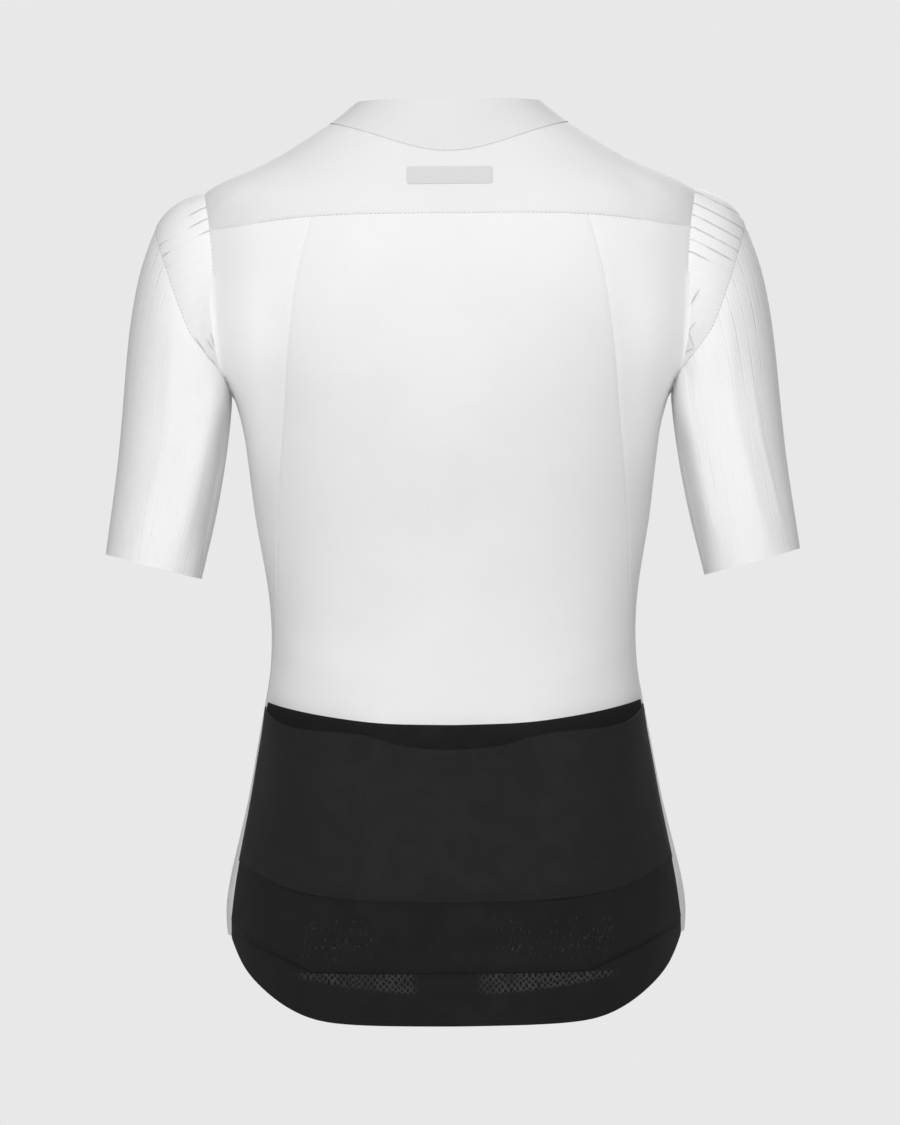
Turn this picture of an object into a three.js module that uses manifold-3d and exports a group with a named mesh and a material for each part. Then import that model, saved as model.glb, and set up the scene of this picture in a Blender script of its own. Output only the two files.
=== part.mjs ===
// A short-sleeved cycling jersey, hollow and filled out as it is when worn, built from the pieces that are cut and sewn.
// Millimetres, +Z up. The wearer faces -Y and the wearer's left is +X. The origin is midway between the shoulders at the
// base of the neck, where the wearer's shoulders carry the cloth.
import * as THREE from "three";
import Module from "manifold-3d";

const wasm = await Module();
wasm.setup();

// Driving dimensions
const clothThickness = 1.5;
const seamGap = 0.3;
const layerGap = 0.35;

const white = { color: 0xeeeeee, roughness: 0.82, metalness: 0 };
const softWhite = { color: 0xf3f3f3, roughness: 0.75, metalness: 0 };
const black = { color: 0x202121, roughness: 0.88, metalness: 0 };
const deepBlack = { color: 0x191a1a, roughness: 0.9, metalness: 0 };
const grey = { color: 0xd6d6d6, roughness: 0.5, metalness: 0 };
const zipWhite = { color: 0xe4e4e4, roughness: 0.45, metalness: 0 };
const zipMetal = { color: 0xc9cacb, roughness: 0.35, metalness: 0.8 };

// Turns rows of numbers into rows with named columns.
function table(columns, rows) {
  return rows.map((row) =>
    Object.fromEntries(columns.map((name, i) => [name, row[i]])),
  );
}

// The rings of the body, from below the tail up to the collar's top. height is the ring's height at the wearer's side,
// halfWidth its reach sideways, back and front its reach along Y, middle the Y of its widest place. The ring's back and
// front lie lower than its sides by backDrop and frontDrop. roundness is the power of its superellipse.
const sections = table(
  ["height", "halfWidth", "back", "front", "middle", "backDrop", "frontDrop", "roundness"],
  [
    [-690, 164, 133, -92, -18, 0, 0, 2.3],
    [-645, 168, 131, -95, -17, 0, 0, 2.3],
    [-603, 169.5, 126, -98, -16, 0, 0, 2.3],
    [-586, 171, 124, -99, -15, 0, 0, 2.3],
    [-557, 166.5, 118, -102, -12, 0, 0, 2.3],
    [-535, 161, 113, -104, -9, 0, 0, 2.3],
    [-500, 152.5, 103, -107, -5, 0, 0, 2.3],
    [-468, 146.5, 95, -109, -3, 0, 0, 2.3],
    [-433, 140, 87, -110, -1, 0, 0, 2.3],
    [-400, 134.8, 82, -110, 0, 0, 0, 2.3],
    [-370, 134.5, 81, -110, 0, 0, 0, 2.3],
    [-340, 138, 84, -111, 0, 0, 0, 2.32],
    [-300, 145.5, 91, -114, 0, 0, 0, 2.35],
    [-260, 150.5, 101, -118, 0, 0, 0, 2.38],
    [-225, 155, 108, -121, 0, 0, 0, 2.4],
    [-203, 162, 111, -122, 1, 0, 0, 2.4],
    [-176, 178, 112.5, -121, 2, 2, 6, 2.4],
    [-135, 190, 112, -117, 4, 5, 17, 2.4],
    [-98, 190.5, 107, -110, 5, 10, 32, 2.35],
    [-75, 187.5, 101, -105, 5, 15, 43, 2.3],
    [-54, 180.6, 95, -100, 4, 19.5, 54, 2.25],
    [-46.5, 168, 91, -98, 3.5, 20.5, 58, 2.2],
    [-35.5, 139.5, 85, -94, 3, 21.5, 62.5, 2.15],
    [-24, 119, 78.5, -88.5, 2, 22, 67, 2.1],
    [-13, 102, 71, -82, 1, 22, 71, 2.05],
    [-4, 88.5, 64, -76, 0, 24, 73, 2.05],
    [11.5, 69, 50, -66, -2, 0.5, 60, 2.05],
  ],
);
const neckSeamHeight = -4;
const collarTopHeight = 11.5;

// The armhole on the body, by its turn from the top: 0 is the shoulder, 90 the back, 180 the underarm.
const armhole = {
  centre: -128.5,
  halfHeight: 74.5,
  backAngle: 17,
  frontAngle: 16,
  yokeTurn: 53,
  frontYokeTurn: -50,
};

// Seams of the back, by height and by the angle round the body from the wearer's side, in degrees.
const princessSeam = table(
  ["height", "angle"],
  [
    [-110, 39.4],
    [-158, 38.2],
    [-209, 33.6],
    [-254, 27.7],
    [-298, 21.6],
    [-340, 15],
    [-385, 10],
    [-431, 7.5],
  ],
);
const lowerSideSeam = table(
  ["height", "angle"],
  [
    [-431, 7.5],
    [-468, 8],
    [-500, 9.5],
    [-535, 12.5],
    [-557, 14.2],
    [-579, 15],
    [-590, 14.5],
    [-603, 12.5],
  ],
);
const underarmSeam = table(
  ["height", "angle"],
  [
    [-203, 0],
    [-260, -5],
    [-400, -9],
    [-603, -10],
  ],
);

// Curves seen from behind: height by distance from the middle of the back.
const yokeSeam = { height: -75.5, drop: 12.5, reach: 176, power: 4 };
const princessTop = 100.8;
const waistSeam = table(
  ["across", "height"],
  [
    [0, -447.5],
    [46, -446.5],
    [90, -441.5],
    [117, -436.5],
    [139.5, -431],
  ],
);
const pocketMouth = table(
  ["across", "height"],
  [
    [0, -463.5],
    [22, -462.9],
    [42, -460.6],
    [51, -458.4],
    [57, -456],
    [64, -455.3],
    [90, -454.5],
    [111, -452],
    [122, -448],
    [130, -441.5],
    [136, -434.5],
  ],
);
const pocketFoot = table(
  ["across", "height"],
  [
    [0, -576],
    [74, -574],
    [121, -567],
    [141, -558],
    [162, -546],
  ],
);
const tailBandTop = table(
  ["across", "height"],
  [
    [0, -625.5],
    [47, -625],
    [94, -622.5],
    [119, -615],
    [144, -604],
    [164, -590],
  ],
);
const tailHem = table(
  ["across", "height"],
  [
    [0, -664],
    [58, -663.5],
    [90, -662.5],
    [109, -659.5],
    [127, -650.5],
    [140, -641],
    [151, -631],
    [160, -620],
    [166, -603],
  ],
);
const frontHemRise = 12;

const pocket = { divider: 57, gape: 13 };
const zip = {
  halfWidth: 2.9,
  tapeWidth: 13,
  tapeThickness: 0.8,
};
const slider = { width: 7.6, block: 5.1, length: 12, lift: 0.5, wing: 1.6 };
const pull = { width: 6.4, length: 22, thickness: 1.2, bar: 1.4, eye: 2.7, clearance: 0.45 };
const label = { halfWidth: 31.5, top: -40.6, bottom: -53.7, thickness: 0.5 };

// The rings of a sleeve by its share of the length. outer and inner are the ends of the ring seen from behind, and
// back and front its reach along Y.
const sleeveSections = table(
  ["share", "outerX", "outerZ", "innerX", "innerZ", "back", "front"],
  [
    [0, 180.6, -54, 162, -203, 57, -49],
    [0.08, 200, -60.5, 162.1, -207, 59, -51],
    [0.16, 214, -73.5, 162.4, -213, 60, -53],
    [0.26, 225, -97, 163.3, -222, 60, -54],
    [0.38, 233, -126, 165, -236, 57.5, -54],
    [0.52, 239, -165, 167.8, -256, 53.5, -52],
    [0.66, 242.5, -205, 171.5, -277, 50, -50],
    [0.8, 246.5, -249, 176, -299, 47, -49],
    [0.9, 251.5, -284, 181, -319, 45, -48.5],
    [1, 257, -321, 186, -340, 43.5, -48],
  ],
);
const armholeFade = 0.4;

// How far down the sleeve the shoulder insert reaches, by the turn round the sleeve.
const insertSeam = table(
  ["turn", "share"],
  [
    [0, 0.178],
    [45, 0.2],
    [90, 0.222],
    [120, 0.145],
    [137, 0.06],
    [150, 0.008],
    [180, 0],
  ],
);
const insertEndTurn = 146;
const rib = { height: 0.45, sleeveCount: 30, insertCount: 34 };

// How many faces each stretch of seam has. Two pieces that share a seam share its points.
const steps = {
  centre: 20,
  sideTop: 4,
  armholeTop: 10,
  armholeLow: 8,
  princess: 13,
  tail: 2,
  bandRows: 2,
  frontNeck: 5,
  frontShoulder: 5,
  yokeDepth: 5,
  collarHeight: 3,
  sleeveLength: 8,
  pocketSide: 6,
  pocketCentre: 8,
  pocketDepth: 7,
};

const degree = Math.PI / 180;
const half = 90;
const full = 180;

// The slope at each row for a smooth curve that never overshoots its rows.
function slopes(rows, key, column) {
  const rises = rows
    .slice(1)
    .map((row, i) => (row[column] - rows[i][column]) / (row[key] - rows[i][key]));
  return rows.map((row, i) => {
    const before = rises[i - 1];
    const after = rises[i];
    if (before === undefined) return after;
    if (after === undefined) return before;
    return before * after <= 0 ? 0 : (2 * before * after) / (before + after);
  });
}

// A smooth function through one column of a table, by another column that only rises or only falls.
function follow(rows, key, column) {
  const sorted = [...rows].sort((a, b) => a[key] - b[key]);
  const slope = slopes(sorted, key, column);
  return (at) => {
    const last = sorted.length - 2;
    let i = 0;
    while (i < last && at > sorted[i + 1][key]) i += 1;
    const span = sorted[i + 1][key] - sorted[i][key];
    const t = THREE.MathUtils.clamp((at - sorted[i][key]) / span, 0, 1);
    const keep = (1 + 2 * t) * (1 - t) ** 2;
    const lead = t * (1 - t) ** 2;
    const trail = t * t * (t - 1);
    return (
      keep * sorted[i][column] +
      (1 - keep) * sorted[i + 1][column] +
      span * (lead * slope[i] + trail * slope[i + 1])
    );
  };
}

const ring = Object.fromEntries(
  Object.keys(sections[0])
    .slice(1)
    .map((column) => [column, follow(sections, "height", column)]),
);

// A point of the body at an angle round it and at a ring's height. 0 is the wearer's left side, 90 the back.
function body(angle, height) {
  const c = Math.cos(angle * degree);
  const s = Math.sin(angle * degree);
  const middle = ring.middle(height);
  const depth = s > 0 ? ring.back(height) - middle : middle - ring.front(height);
  const power = ring.roundness(height);
  const reach =
    ((Math.abs(c) / ring.halfWidth(height)) ** power + (Math.abs(s) / depth) ** power) **
    (-1 / power);
  const drop = s > 0 ? ring.backDrop(height) : ring.frontDrop(height);
  return new THREE.Vector3(reach * c, middle + reach * s, height - drop * s * s);
}

// The outward normal of a surface given as a function of two values, by small differences.
function normalOf(surface, u, v, du, dv) {
  const along = surface(u + du, v).sub(surface(u - du, v));
  const up = surface(u, v + dv).sub(surface(u, v - dv));
  return along.cross(up).normalize();
}
const bodyNormal = (angle, height) => normalOf(body, angle, height, 0.2, 0.4);

// The value between low and high where a falling or rising function meets its goal.
function solve(measure, goal, low, high) {
  const rising = measure(high) > measure(low);
  let [a, b] = [low, high];
  for (let i = 0; i < 44; i += 1) {
    const middle = (a + b) / 2;
    if (measure(middle) > goal === rising) b = middle;
    else a = middle;
  }
  return (a + b) / 2;
}

const lowestRing = sections[0].height;
const heightAt = (angle, z) =>
  solve((height) => body(angle, height).z, z, lowestRing, collarTopHeight);

// The angle and ring height of the place on the back that is seen at across and z.
function backPlace(across, z) {
  const angle = solve((a) => body(a, heightAt(a, z)).x, across, 0, half);
  return [angle, heightAt(angle, z)];
}

function armholePlace(turn) {
  const s = Math.sin(turn * degree);
  const reach = s > 0 ? armhole.backAngle : armhole.frontAngle;
  return [reach * s, armhole.centre + armhole.halfHeight * Math.cos(turn * degree)];
}

const yokeHeight = (across) =>
  yokeSeam.height - yokeSeam.drop * (Math.abs(across) / yokeSeam.reach) ** yokeSeam.power;

// Evenly spaced shares of a line, ends included.
const shares = (count) => Array.from({ length: count + 1 }, (_, i) => i / count);
const mix = THREE.MathUtils.lerp;
const mixPlace = (a, b, t) => [mix(a[0], b[0], t), mix(a[1], b[1], t)];
const straight = (from, to, count) => shares(count).map((t) => mixPlace(from, to, t));
const chain = (...lines) => lines.reduce((all, line) => [...all, ...line.slice(1)]);
const backwards = (line) => [...line].reverse();
const mirrored = (line) => line.map(([angle, height]) => [full - angle, height]);

// Places along a seam given by height and angle.
function seamLine(rows, from, to, count) {
  const angle = follow(rows, "height", "angle");
  return shares(count).map((t) => [angle(mix(from, to, t)), mix(from, to, t)]);
}

// Where the column of points at an angle crosses a curve seen from behind, as a place on the back.
function crossing(angle, curve) {
  const measure = (height) => {
    const point = body(angle, height);
    return point.z - curve(Math.abs(point.x));
  };
  return [angle, solve(measure, 0, lowestRing, neckSeamHeight)];
}

// Places along a curve seen from behind, from an edge on the left to the same edge on the right. The pockets' dividers
// fall on its columns.
function acrossBack(rows, edge) {
  const curve = follow(rows, "across", "height");
  const divider = solve((angle) => body(...crossing(angle, curve)).x, pocket.divider, 0, half);
  const angles = chain(
    shares(steps.pocketSide).map((t) => mix(edge[0], divider, t)),
    shares(steps.pocketCentre / 2).map((t) => mix(divider, half, t)),
  );
  const left = [edge, ...angles.slice(1).map((angle) => crossing(angle, curve))];
  return chain(left, mirrored(backwards(left)));
}

// A grid of places inside four edge lines. left and right run up the rows, bottom and top along the columns.
function fill(left, right, bottom, top) {
  const columns = bottom.length - 1;
  const rows = left.length - 1;
  return shares(rows).map((v, j) =>
    shares(columns).map((u, i) =>
      [0, 1].map(
        (k) =>
          mix(left[j][k], right[j][k], u) +
          mix(bottom[i][k], top[i][k], v) -
          mix(mix(bottom[0][k], bottom[columns][k], u), mix(top[0][k], top[columns][k], u), v),
      ),
    ),
  );
}

// Moves an edge of a grid of points into its panel, square to the edge, so that two pieces meet with the seam's gap.
function insetEdge(points, line, inner, shift) {
  const moves = line.map(([j, i], n) => {
    const before = points[line[Math.max(n - 1, 0)][0]][line[Math.max(n - 1, 0)][1]];
    const next = line[Math.min(n + 1, line.length - 1)];
    const tangent = points[next[0]][next[1]].clone().sub(before).normalize();
    const inwards = points[inner[n][0]][inner[n][1]].clone().sub(points[j][i]);
    inwards.addScaledVector(tangent, -inwards.dot(tangent));
    return inwards.setLength(shift);
  });
  return line.map(([j, i], n) => ({ j, i, move: moves[n] }));
}

// Shrinks a grid of points by half a seam gap on each of its open sides.
function insetGrid(points, sides, shift = seamGap / 2) {
  const rows = points.length - 1;
  const columns = points[0].length - 1;
  const row = (j) => points[0].map((_, i) => [j, i]);
  const column = (i) => points.map((_, j) => [j, i]);
  const edges = {
    bottom: [row(0), row(1)],
    top: [row(rows), row(rows - 1)],
    left: [column(0), column(1)],
    right: [column(columns), column(columns - 1)],
  };
  const moves = sides.flatMap((side) => insetEdge(points, ...edges[side], shift));
  const moved = points.map((line) => line.map((point) => point.clone()));
  moves.forEach(({ j, i, move }) => moved[j][i].add(move));
  return moved;
}

// A closed wall from a grid of outer points and a grid of inner points. A tube's last column is its first.
function wallGeometry(outer, inner, closed = false) {
  const rows = outer.length;
  const columns = outer[0].length;
  const positions = [...outer.flat(), ...inner.flat()].flatMap((p) => [p.x, p.y, p.z]);
  const at = (layer, j, i) => layer * rows * columns + j * columns + (i % columns);
  const faces = [];
  const quad = (a, b, c, d) => faces.push(a, b, c, a, c, d);
  const across = closed ? columns : columns - 1;
  for (let j = 0; j < rows - 1; j += 1)
    for (let i = 0; i < across; i += 1) {
      quad(at(0, j, i), at(0, j, i + 1), at(0, j + 1, i + 1), at(0, j + 1, i));
      quad(at(1, j, i), at(1, j + 1, i), at(1, j + 1, i + 1), at(1, j, i + 1));
    }
  for (let i = 0; i < across; i += 1) {
    quad(at(1, 0, i), at(1, 0, i + 1), at(0, 0, i + 1), at(0, 0, i));
    quad(at(0, rows - 1, i), at(0, rows - 1, i + 1), at(1, rows - 1, i + 1), at(1, rows - 1, i));
  }
  if (!closed)
    for (let j = 0; j < rows - 1; j += 1) {
      quad(at(0, j, 0), at(0, j + 1, 0), at(1, j + 1, 0), at(1, j, 0));
      const end = columns - 1;
      quad(at(1, j, end), at(1, j + 1, end), at(0, j + 1, end), at(0, j, end));
    }
  const geometry = new THREE.BufferGeometry();
  geometry.setAttribute("position", new THREE.Float32BufferAttribute(positions, 3));
  geometry.setIndex(faces);
  geometry.computeVertexNormals();
  return geometry;
}

const jersey = new THREE.Group();
jersey.name = "cycling_jersey";

function add(name, geometry, finish) {
  const mesh = new THREE.Mesh(geometry, new THREE.MeshStandardMaterial(finish));
  mesh.name = name;
  jersey.add(mesh);
  return mesh;
}

// The points of a panel of the body over a grid of places, moved out by lift(place) from the body's form.
function bodyPoints(places, sides, lift) {
  const form = places.map((row) => row.map((place) => body(...place)));
  return insetGrid(form, sides).map((row, j) =>
    row.map((point, i) =>
      point.addScaledVector(bodyNormal(...places[j][i]), lift(places[j][i])),
    ),
  );
}

// A panel of the body over a grid of places, its outer face raised by lift(place) above the body's form.
function bodyWall(places, sides, thickness = clothThickness, lift = () => 0) {
  const inner = (place) => lift(place) - thickness;
  return wallGeometry(bodyPoints(places, sides, lift), bodyPoints(places, sides, inner));
}

// The same geometry on the wearer's other side.
function mirrorGeometry(geometry) {
  const other = geometry.clone().scale(-1, 1, 1);
  const index = other.getIndex().array;
  for (let i = 0; i < index.length; i += 3)
    [index[i + 1], index[i + 2]] = [index[i + 2], index[i + 1]];
  other.computeVertexNormals();
  return other;
}

function addPair(name, geometry, finish) {
  add(`${name}_left`, geometry, finish);
  add(`${name}_right`, mirrorGeometry(geometry), finish);
}

const allSides = ["bottom", "top", "left", "right"];

// Seams that several pieces share, on the wearer's left.
const armholeLine = (from, to, count) =>
  shares(count).map((t) => armholePlace(mix(from, to, t)));
const armholeBackLow = armholeLine(armhole.yokeTurn, full, steps.armholeLow);
const armholeFrontLow = armholeLine(armhole.frontYokeTurn, -full, steps.armholeLow);
const armholeTop = armholeLine(armhole.frontYokeTurn, armhole.yokeTurn, steps.armholeTop);
const yokeEnd = armholePlace(armhole.yokeTurn);
const yokeEndAcross = body(...yokeEnd).x;
const yokeLine = (from, to, count) =>
  shares(count).map((t) => {
    const across = mix(from, to, t);
    return backPlace(across, yokeHeight(across));
  });
const yokeSide = [
  yokeEnd,
  ...yokeLine(yokeEndAcross, princessTop, steps.sideTop).slice(1),
];
const yokeCorner = yokeSide[steps.sideTop];
const yokeMiddleLeft = [
  yokeCorner,
  ...shares(steps.centre / 2)
    .slice(1)
    .map((t) => crossing(mix(yokeCorner[0], half, t), yokeHeight)),
];
const yokeMiddle = chain(yokeMiddleLeft, mirrored(backwards(yokeMiddleLeft)));

const waistEdge = lowerSideSeam[0];
const princessRows = [
  { height: yokeCorner[1], angle: yokeCorner[0] },
  ...princessSeam,
];
const princessLine = seamLine(
  princessRows,
  yokeCorner[1],
  waistEdge.height,
  steps.princess,
);
const hemCorner = lowerSideSeam[lowerSideSeam.length - 1];
const tailTop = lowerSideSeam[lowerSideSeam.length - 2];
const lowerEdgeAngle = follow(lowerSideSeam, "height", "angle");

// Where a curve seen from behind meets the side seam of the lower back.
function sideEdge(rows) {
  const curve = follow(rows, "across", "height");
  let place = [waistEdge.angle, waistEdge.height];
  for (let i = 0; i < 20; i += 1) place = crossing(lowerEdgeAngle(place[1]), curve);
  return place;
}

const waistLine = acrossBack(waistSeam, [waistEdge.angle, waistEdge.height]);
const mouthLine = acrossBack(pocketMouth, sideEdge(pocketMouth));
const footLine = acrossBack(pocketFoot, sideEdge(pocketFoot));
const bandLine = acrossBack(tailBandTop, [tailTop.angle, tailTop.height]);
const tailLine = acrossBack(tailHem, [hemCorner.angle, hemCorner.height]);

// Rows of places from one line up to another, both ends included, kept to the side seam at their ends.
function rowsBetween(lower, upper, count) {
  const last = lower.length - 1;
  return shares(count).map((t) =>
    lower.map((place, i) => {
      const [angle, height] = mixPlace(place, upper[i], t);
      if (i > 0 && i < last) return [angle, height];
      return [i === 0 ? lowerEdgeAngle(height) : full - lowerEdgeAngle(height), height];
    }),
  );
}

const pocketPlaces = rowsBetween(footLine, mouthLine, steps.pocketDepth);
const lowerBackPlaces = [
  ...rowsBetween(bandLine, footLine, steps.bandRows).slice(0, -1),
  ...pocketPlaces,
  waistLine,
];
const blackSide = backwards(lowerBackPlaces.map((row) => row[0]));
const tailSide = seamLine(lowerSideSeam, tailTop.height, hemCorner.height, steps.tail);
const lowerRows = lowerBackPlaces.length - 1 + steps.tail;

const sideRows = steps.princess + lowerRows - steps.armholeLow;
const underarmLine = seamLine(underarmSeam, -203, hemCorner.height, sideRows);

// The neck seam's places: across the front, over the yoke and round to the other front.
const neckFrontAngle = -40;
const neckOverArmhole = 28;
const neckPrincess = 50;
const neckLine = (from, to, count) => straight([from, neckSeamHeight], [to, neckSeamHeight], count);
const yokeNeckLeft = chain(
  neckLine(neckFrontAngle, neckOverArmhole, steps.armholeTop),
  neckLine(neckOverArmhole, neckPrincess, steps.sideTop),
);
const yokeNeckMiddle = neckLine(neckPrincess, full - neckPrincess, steps.centre);
const yokeNeck = chain(yokeNeckLeft, yokeNeckMiddle, mirrored(backwards(yokeNeckLeft)));

// The angle where the front meets the zip, at a ring's height.
function zipAngle(height, offset = zip.halfWidth) {
  return solve((angle) => body(angle, height).x, offset, -half, 0);
}
const neckFront = (height, count) => {
  const edge = zipAngle(height);
  return shares(count).map((t) => [mix(edge, neckFrontAngle, t), height]);
};
const frontHem = (angle) =>
  hemCorner.height + frontHemRise * Math.sin(Math.min(angle, 0) * degree) ** 2;

function makeYoke() {
  const outerLeft = chain(armholeTop, yokeSide);
  const outer = chain(outerLeft, yokeMiddle, mirrored(backwards(outerLeft)));
  const shoulder = straight(armholeTop[0], yokeNeck[0], steps.yokeDepth);
  const places = fill(shoulder, mirrored(shoulder), outer, yokeNeck);
  add("yoke", bodyWall(places, allSides), white);
}

function makeBackCentre() {
  const left = backwards(princessLine);
  const places = fill(left, mirrored(left), waistLine, yokeMiddle);
  add("back_centre", bodyWall(places, allSides), white);
}

function makeSides() {
  const back = backwards(chain(princessLine, blackSide, tailSide));
  const front = backwards(chain(armholeBackLow, underarmLine));
  const hem = straight(front[0], back[0], steps.sideTop).map(([angle], i, line) => [
    angle,
    mix(line[0][1], line[steps.sideTop][1], i / steps.sideTop),
  ]);
  const places = fill(front, back, hem, yokeSide);
  addPair("side_panel", bodyWall(places, allSides), white);
}

function frontPlaces() {
  const rows = steps.princess + lowerRows;
  const bottomHeight = frontHem(-half);
  const openEdge = shares(rows).map((t) => {
    const height = mix(bottomHeight, neckSeamHeight, t);
    return [zipAngle(height), height];
  });
  const side = backwards(chain(armholeFrontLow, underarmLine));
  const shoulder = straight(yokeNeck[0], armholeTop[0], steps.frontShoulder);
  const top = chain(neckFront(neckSeamHeight, steps.frontNeck), shoulder);
  const columns = steps.frontNeck + steps.frontShoulder;
  const hem = shares(columns).map((t) => {
    const angle = mix(openEdge[0][0], side[0][0], t);
    const rise = frontHem(angle) - frontHem(side[0][0]) * t - bottomHeight * (1 - t);
    return [angle, mix(bottomHeight, side[0][1], t) + rise];
  });
  return fill(openEdge, side, hem, top);
}

function collarPlaces() {
  const line = (height) => {
    const front = neckFront(height, steps.frontNeck);
    const over = yokeNeck.map(([angle]) => [angle, height]);
    return chain(front, over, mirrored(backwards(front)));
  };
  const side = shares(steps.collarHeight).map((t) => {
    const height = mix(neckSeamHeight, collarTopHeight, t);
    return [zipAngle(height), height];
  });
  return fill(side, mirrored(side), line(neckSeamHeight), line(collarTopHeight));
}

function makeFronts() {
  addPair("front", bodyWall(frontPlaces(), allSides), white);
}

function makeCollar() {
  add("collar", bodyWall(collarPlaces(), allSides), white);
}

function makeLowerBack() {
  add("lower_back", bodyWall(lowerBackPlaces, allSides), deepBlack);
}

function makeTailBand() {
  const side = backwards(tailSide);
  const places = fill(side, mirrored(side), tailLine, bandLine);
  add("tail_band", bodyWall(places, allSides), deepBlack);
}

// How far the pocket cloth stands off the back: most at the mouth of each pocket, nothing at its seams.
function pocketGape(across, depthShare) {
  const width = Math.abs(across) < pocket.divider ? 2 * pocket.divider : 82;
  const middle = Math.abs(across) < pocket.divider ? 0 : pocket.divider + width / 2;
  const sideways = Math.cos((Math.PI * (Math.abs(across) - middle)) / width);
  const belly = Math.max(sideways, 0) ** 0.7;
  return pocket.gape * belly * (1 - depthShare) ** 0.8;
}

function makePockets() {
  const depth = new Map();
  pocketPlaces.forEach((row, j) =>
    row.forEach((place) => depth.set(place, 1 - j / steps.pocketDepth)),
  );
  const gape = (place) => pocketGape(body(...place).x, depth.get(place));
  const lift = (place) => clothThickness + layerGap + gape(place);
  add("pocket_panel", bodyWall(pocketPlaces, allSides, clothThickness, lift), black);
}

// The reflective transfer below the collar, lying on the yoke.
function makeLabel() {
  const edge = (z) =>
    shares(6).map((t) => {
      const across = mix(label.halfWidth, -label.halfWidth, t);
      const [angle, height] = backPlace(Math.abs(across), z);
      return [across < 0 ? full - angle : angle, height];
    });
  const bottom = edge(label.bottom);
  const top = edge(label.top);
  const side = straight(bottom[0], top[0], 2);
  const places = fill(side, mirrored(side), bottom, top);
  const lift = () => label.thickness + layerGap + 0.15;
  add("neck_label", bodyWall(places, [], label.thickness, lift), grey);
}

const sleeveRing = Object.fromEntries(
  Object.keys(sleeveSections[0])
    .slice(1)
    .map((column) => [column, follow(sleeveSections, "share", column)]),
);

// A plain ring of the sleeve at a turn round it, before it is fitted to the armhole.
function plainSleeve(turn, share) {
  const c = Math.cos(turn * degree);
  const s = Math.sin(turn * degree);
  const outward = (1 + c) / 2;
  const back = sleeveRing.back(share);
  const front = sleeveRing.front(share);
  return new THREE.Vector3(
    mix(sleeveRing.innerX(share), sleeveRing.outerX(share), outward),
    (back + front) / 2 + ((back - front) / 2) * s,
    mix(sleeveRing.innerZ(share), sleeveRing.outerZ(share), outward),
  );
}

// A point of the left sleeve: its first ring is the armhole's edge, moved out by the seam's gap.
function sleeve(turn, share) {
  const fade = Math.max(1 - share / armholeFade, 0) ** 2;
  const edge = body(...armholePlace(turn));
  edge.x += seamGap + 0.1;
  return plainSleeve(turn, share).addScaledVector(edge.sub(plainSleeve(turn, 0)), fade);
}

function sleeveNormal(turn, share) {
  const near = Math.max(share, 0.004);
  const along = sleeve(turn + 0.4, near).sub(sleeve(turn - 0.4, near));
  const down = sleeve(turn, near + 0.004).sub(sleeve(turn, near - 0.004));
  return down.cross(along).normalize();
}

const insertShare = follow(insertSeam, "turn", "share");
const wrapTurn = (turn) => Math.abs(turn > full ? turn - 2 * full : turn);

// A wall of the sleeve over a grid of turns and shares, with its odd columns raised as ribs.
function sleeveWall(places, sides, closed, ribbed) {
  const form = places.map((row) => row.map((place) => sleeve(...place)));
  const out = places.map((row) => row.map((place) => sleeveNormal(...place)));
  const flat = insetGrid(form, sides);
  const last = places.length - 1;
  const layer = (depth, raised) =>
    places.map((row, j) =>
      row.map((place, i) => {
        const edge = j === 0 || j === last;
        const lift = raised && ribbed(i) && !edge ? rib.height : 0;
        return flat[j][i].clone().addScaledVector(out[j][i], lift - depth);
      }),
    );
  return wallGeometry(layer(0, true), layer(clothThickness, false), closed);
}

function makeSleeves() {
  const columns = 2 * rib.sleeveCount;
  const turns = Array.from({ length: columns }, (_, i) => (i * 2 * full) / columns);
  const places = shares(steps.sleeveLength).map((t) =>
    turns.map((turn) => {
      const start = insertShare(wrapTurn(turn));
      return [turn, mix(1, start, t ** 1.15)];
    }),
  );
  addPair("sleeve", sleeveWall(places, ["top"], true, (i) => i % 2 === 1), softWhite);
}

function makeInserts() {
  const columns = 2 * rib.insertCount;
  const rows = 3;
  const places = shares(rows).map((t) =>
    shares(columns).map((u) => {
      const turn = mix(-insertEndTurn, insertEndTurn, u);
      return [turn, mix(insertShare(wrapTurn(turn)), 0, t)];
    }),
  );
  const ribbed = (i) => i % 2 === 1 && i > 4 && i < columns - 4;
  addPair("shoulder_insert", sleeveWall(places, ["bottom"], false, ribbed), softWhite);
}

// The zip's parts take their points from the open edges of the front and the collar. Each row of openEdge holds the
// edge's own point and the next one along the cloth.
function openEdge(depth) {
  const rows = (places) => bodyPoints(places, ["left"], () => -depth).map((row) => row.slice(0, 2));
  return [...rows(frontPlaces()), ...rows(collarPlaces()).slice(1)];
}

const acrossTo = (point, x) => new THREE.Vector3(x, point.y, point.z);

const sliderSeat = 3.5;

function zipFrame() {
  const top = body(-half, collarTopHeight);
  const down = body(-half, collarTopHeight - 1).sub(top).normalize();
  const out = bodyNormal(-half, collarTopHeight - 1);
  return { top, down, out };
}

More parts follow.
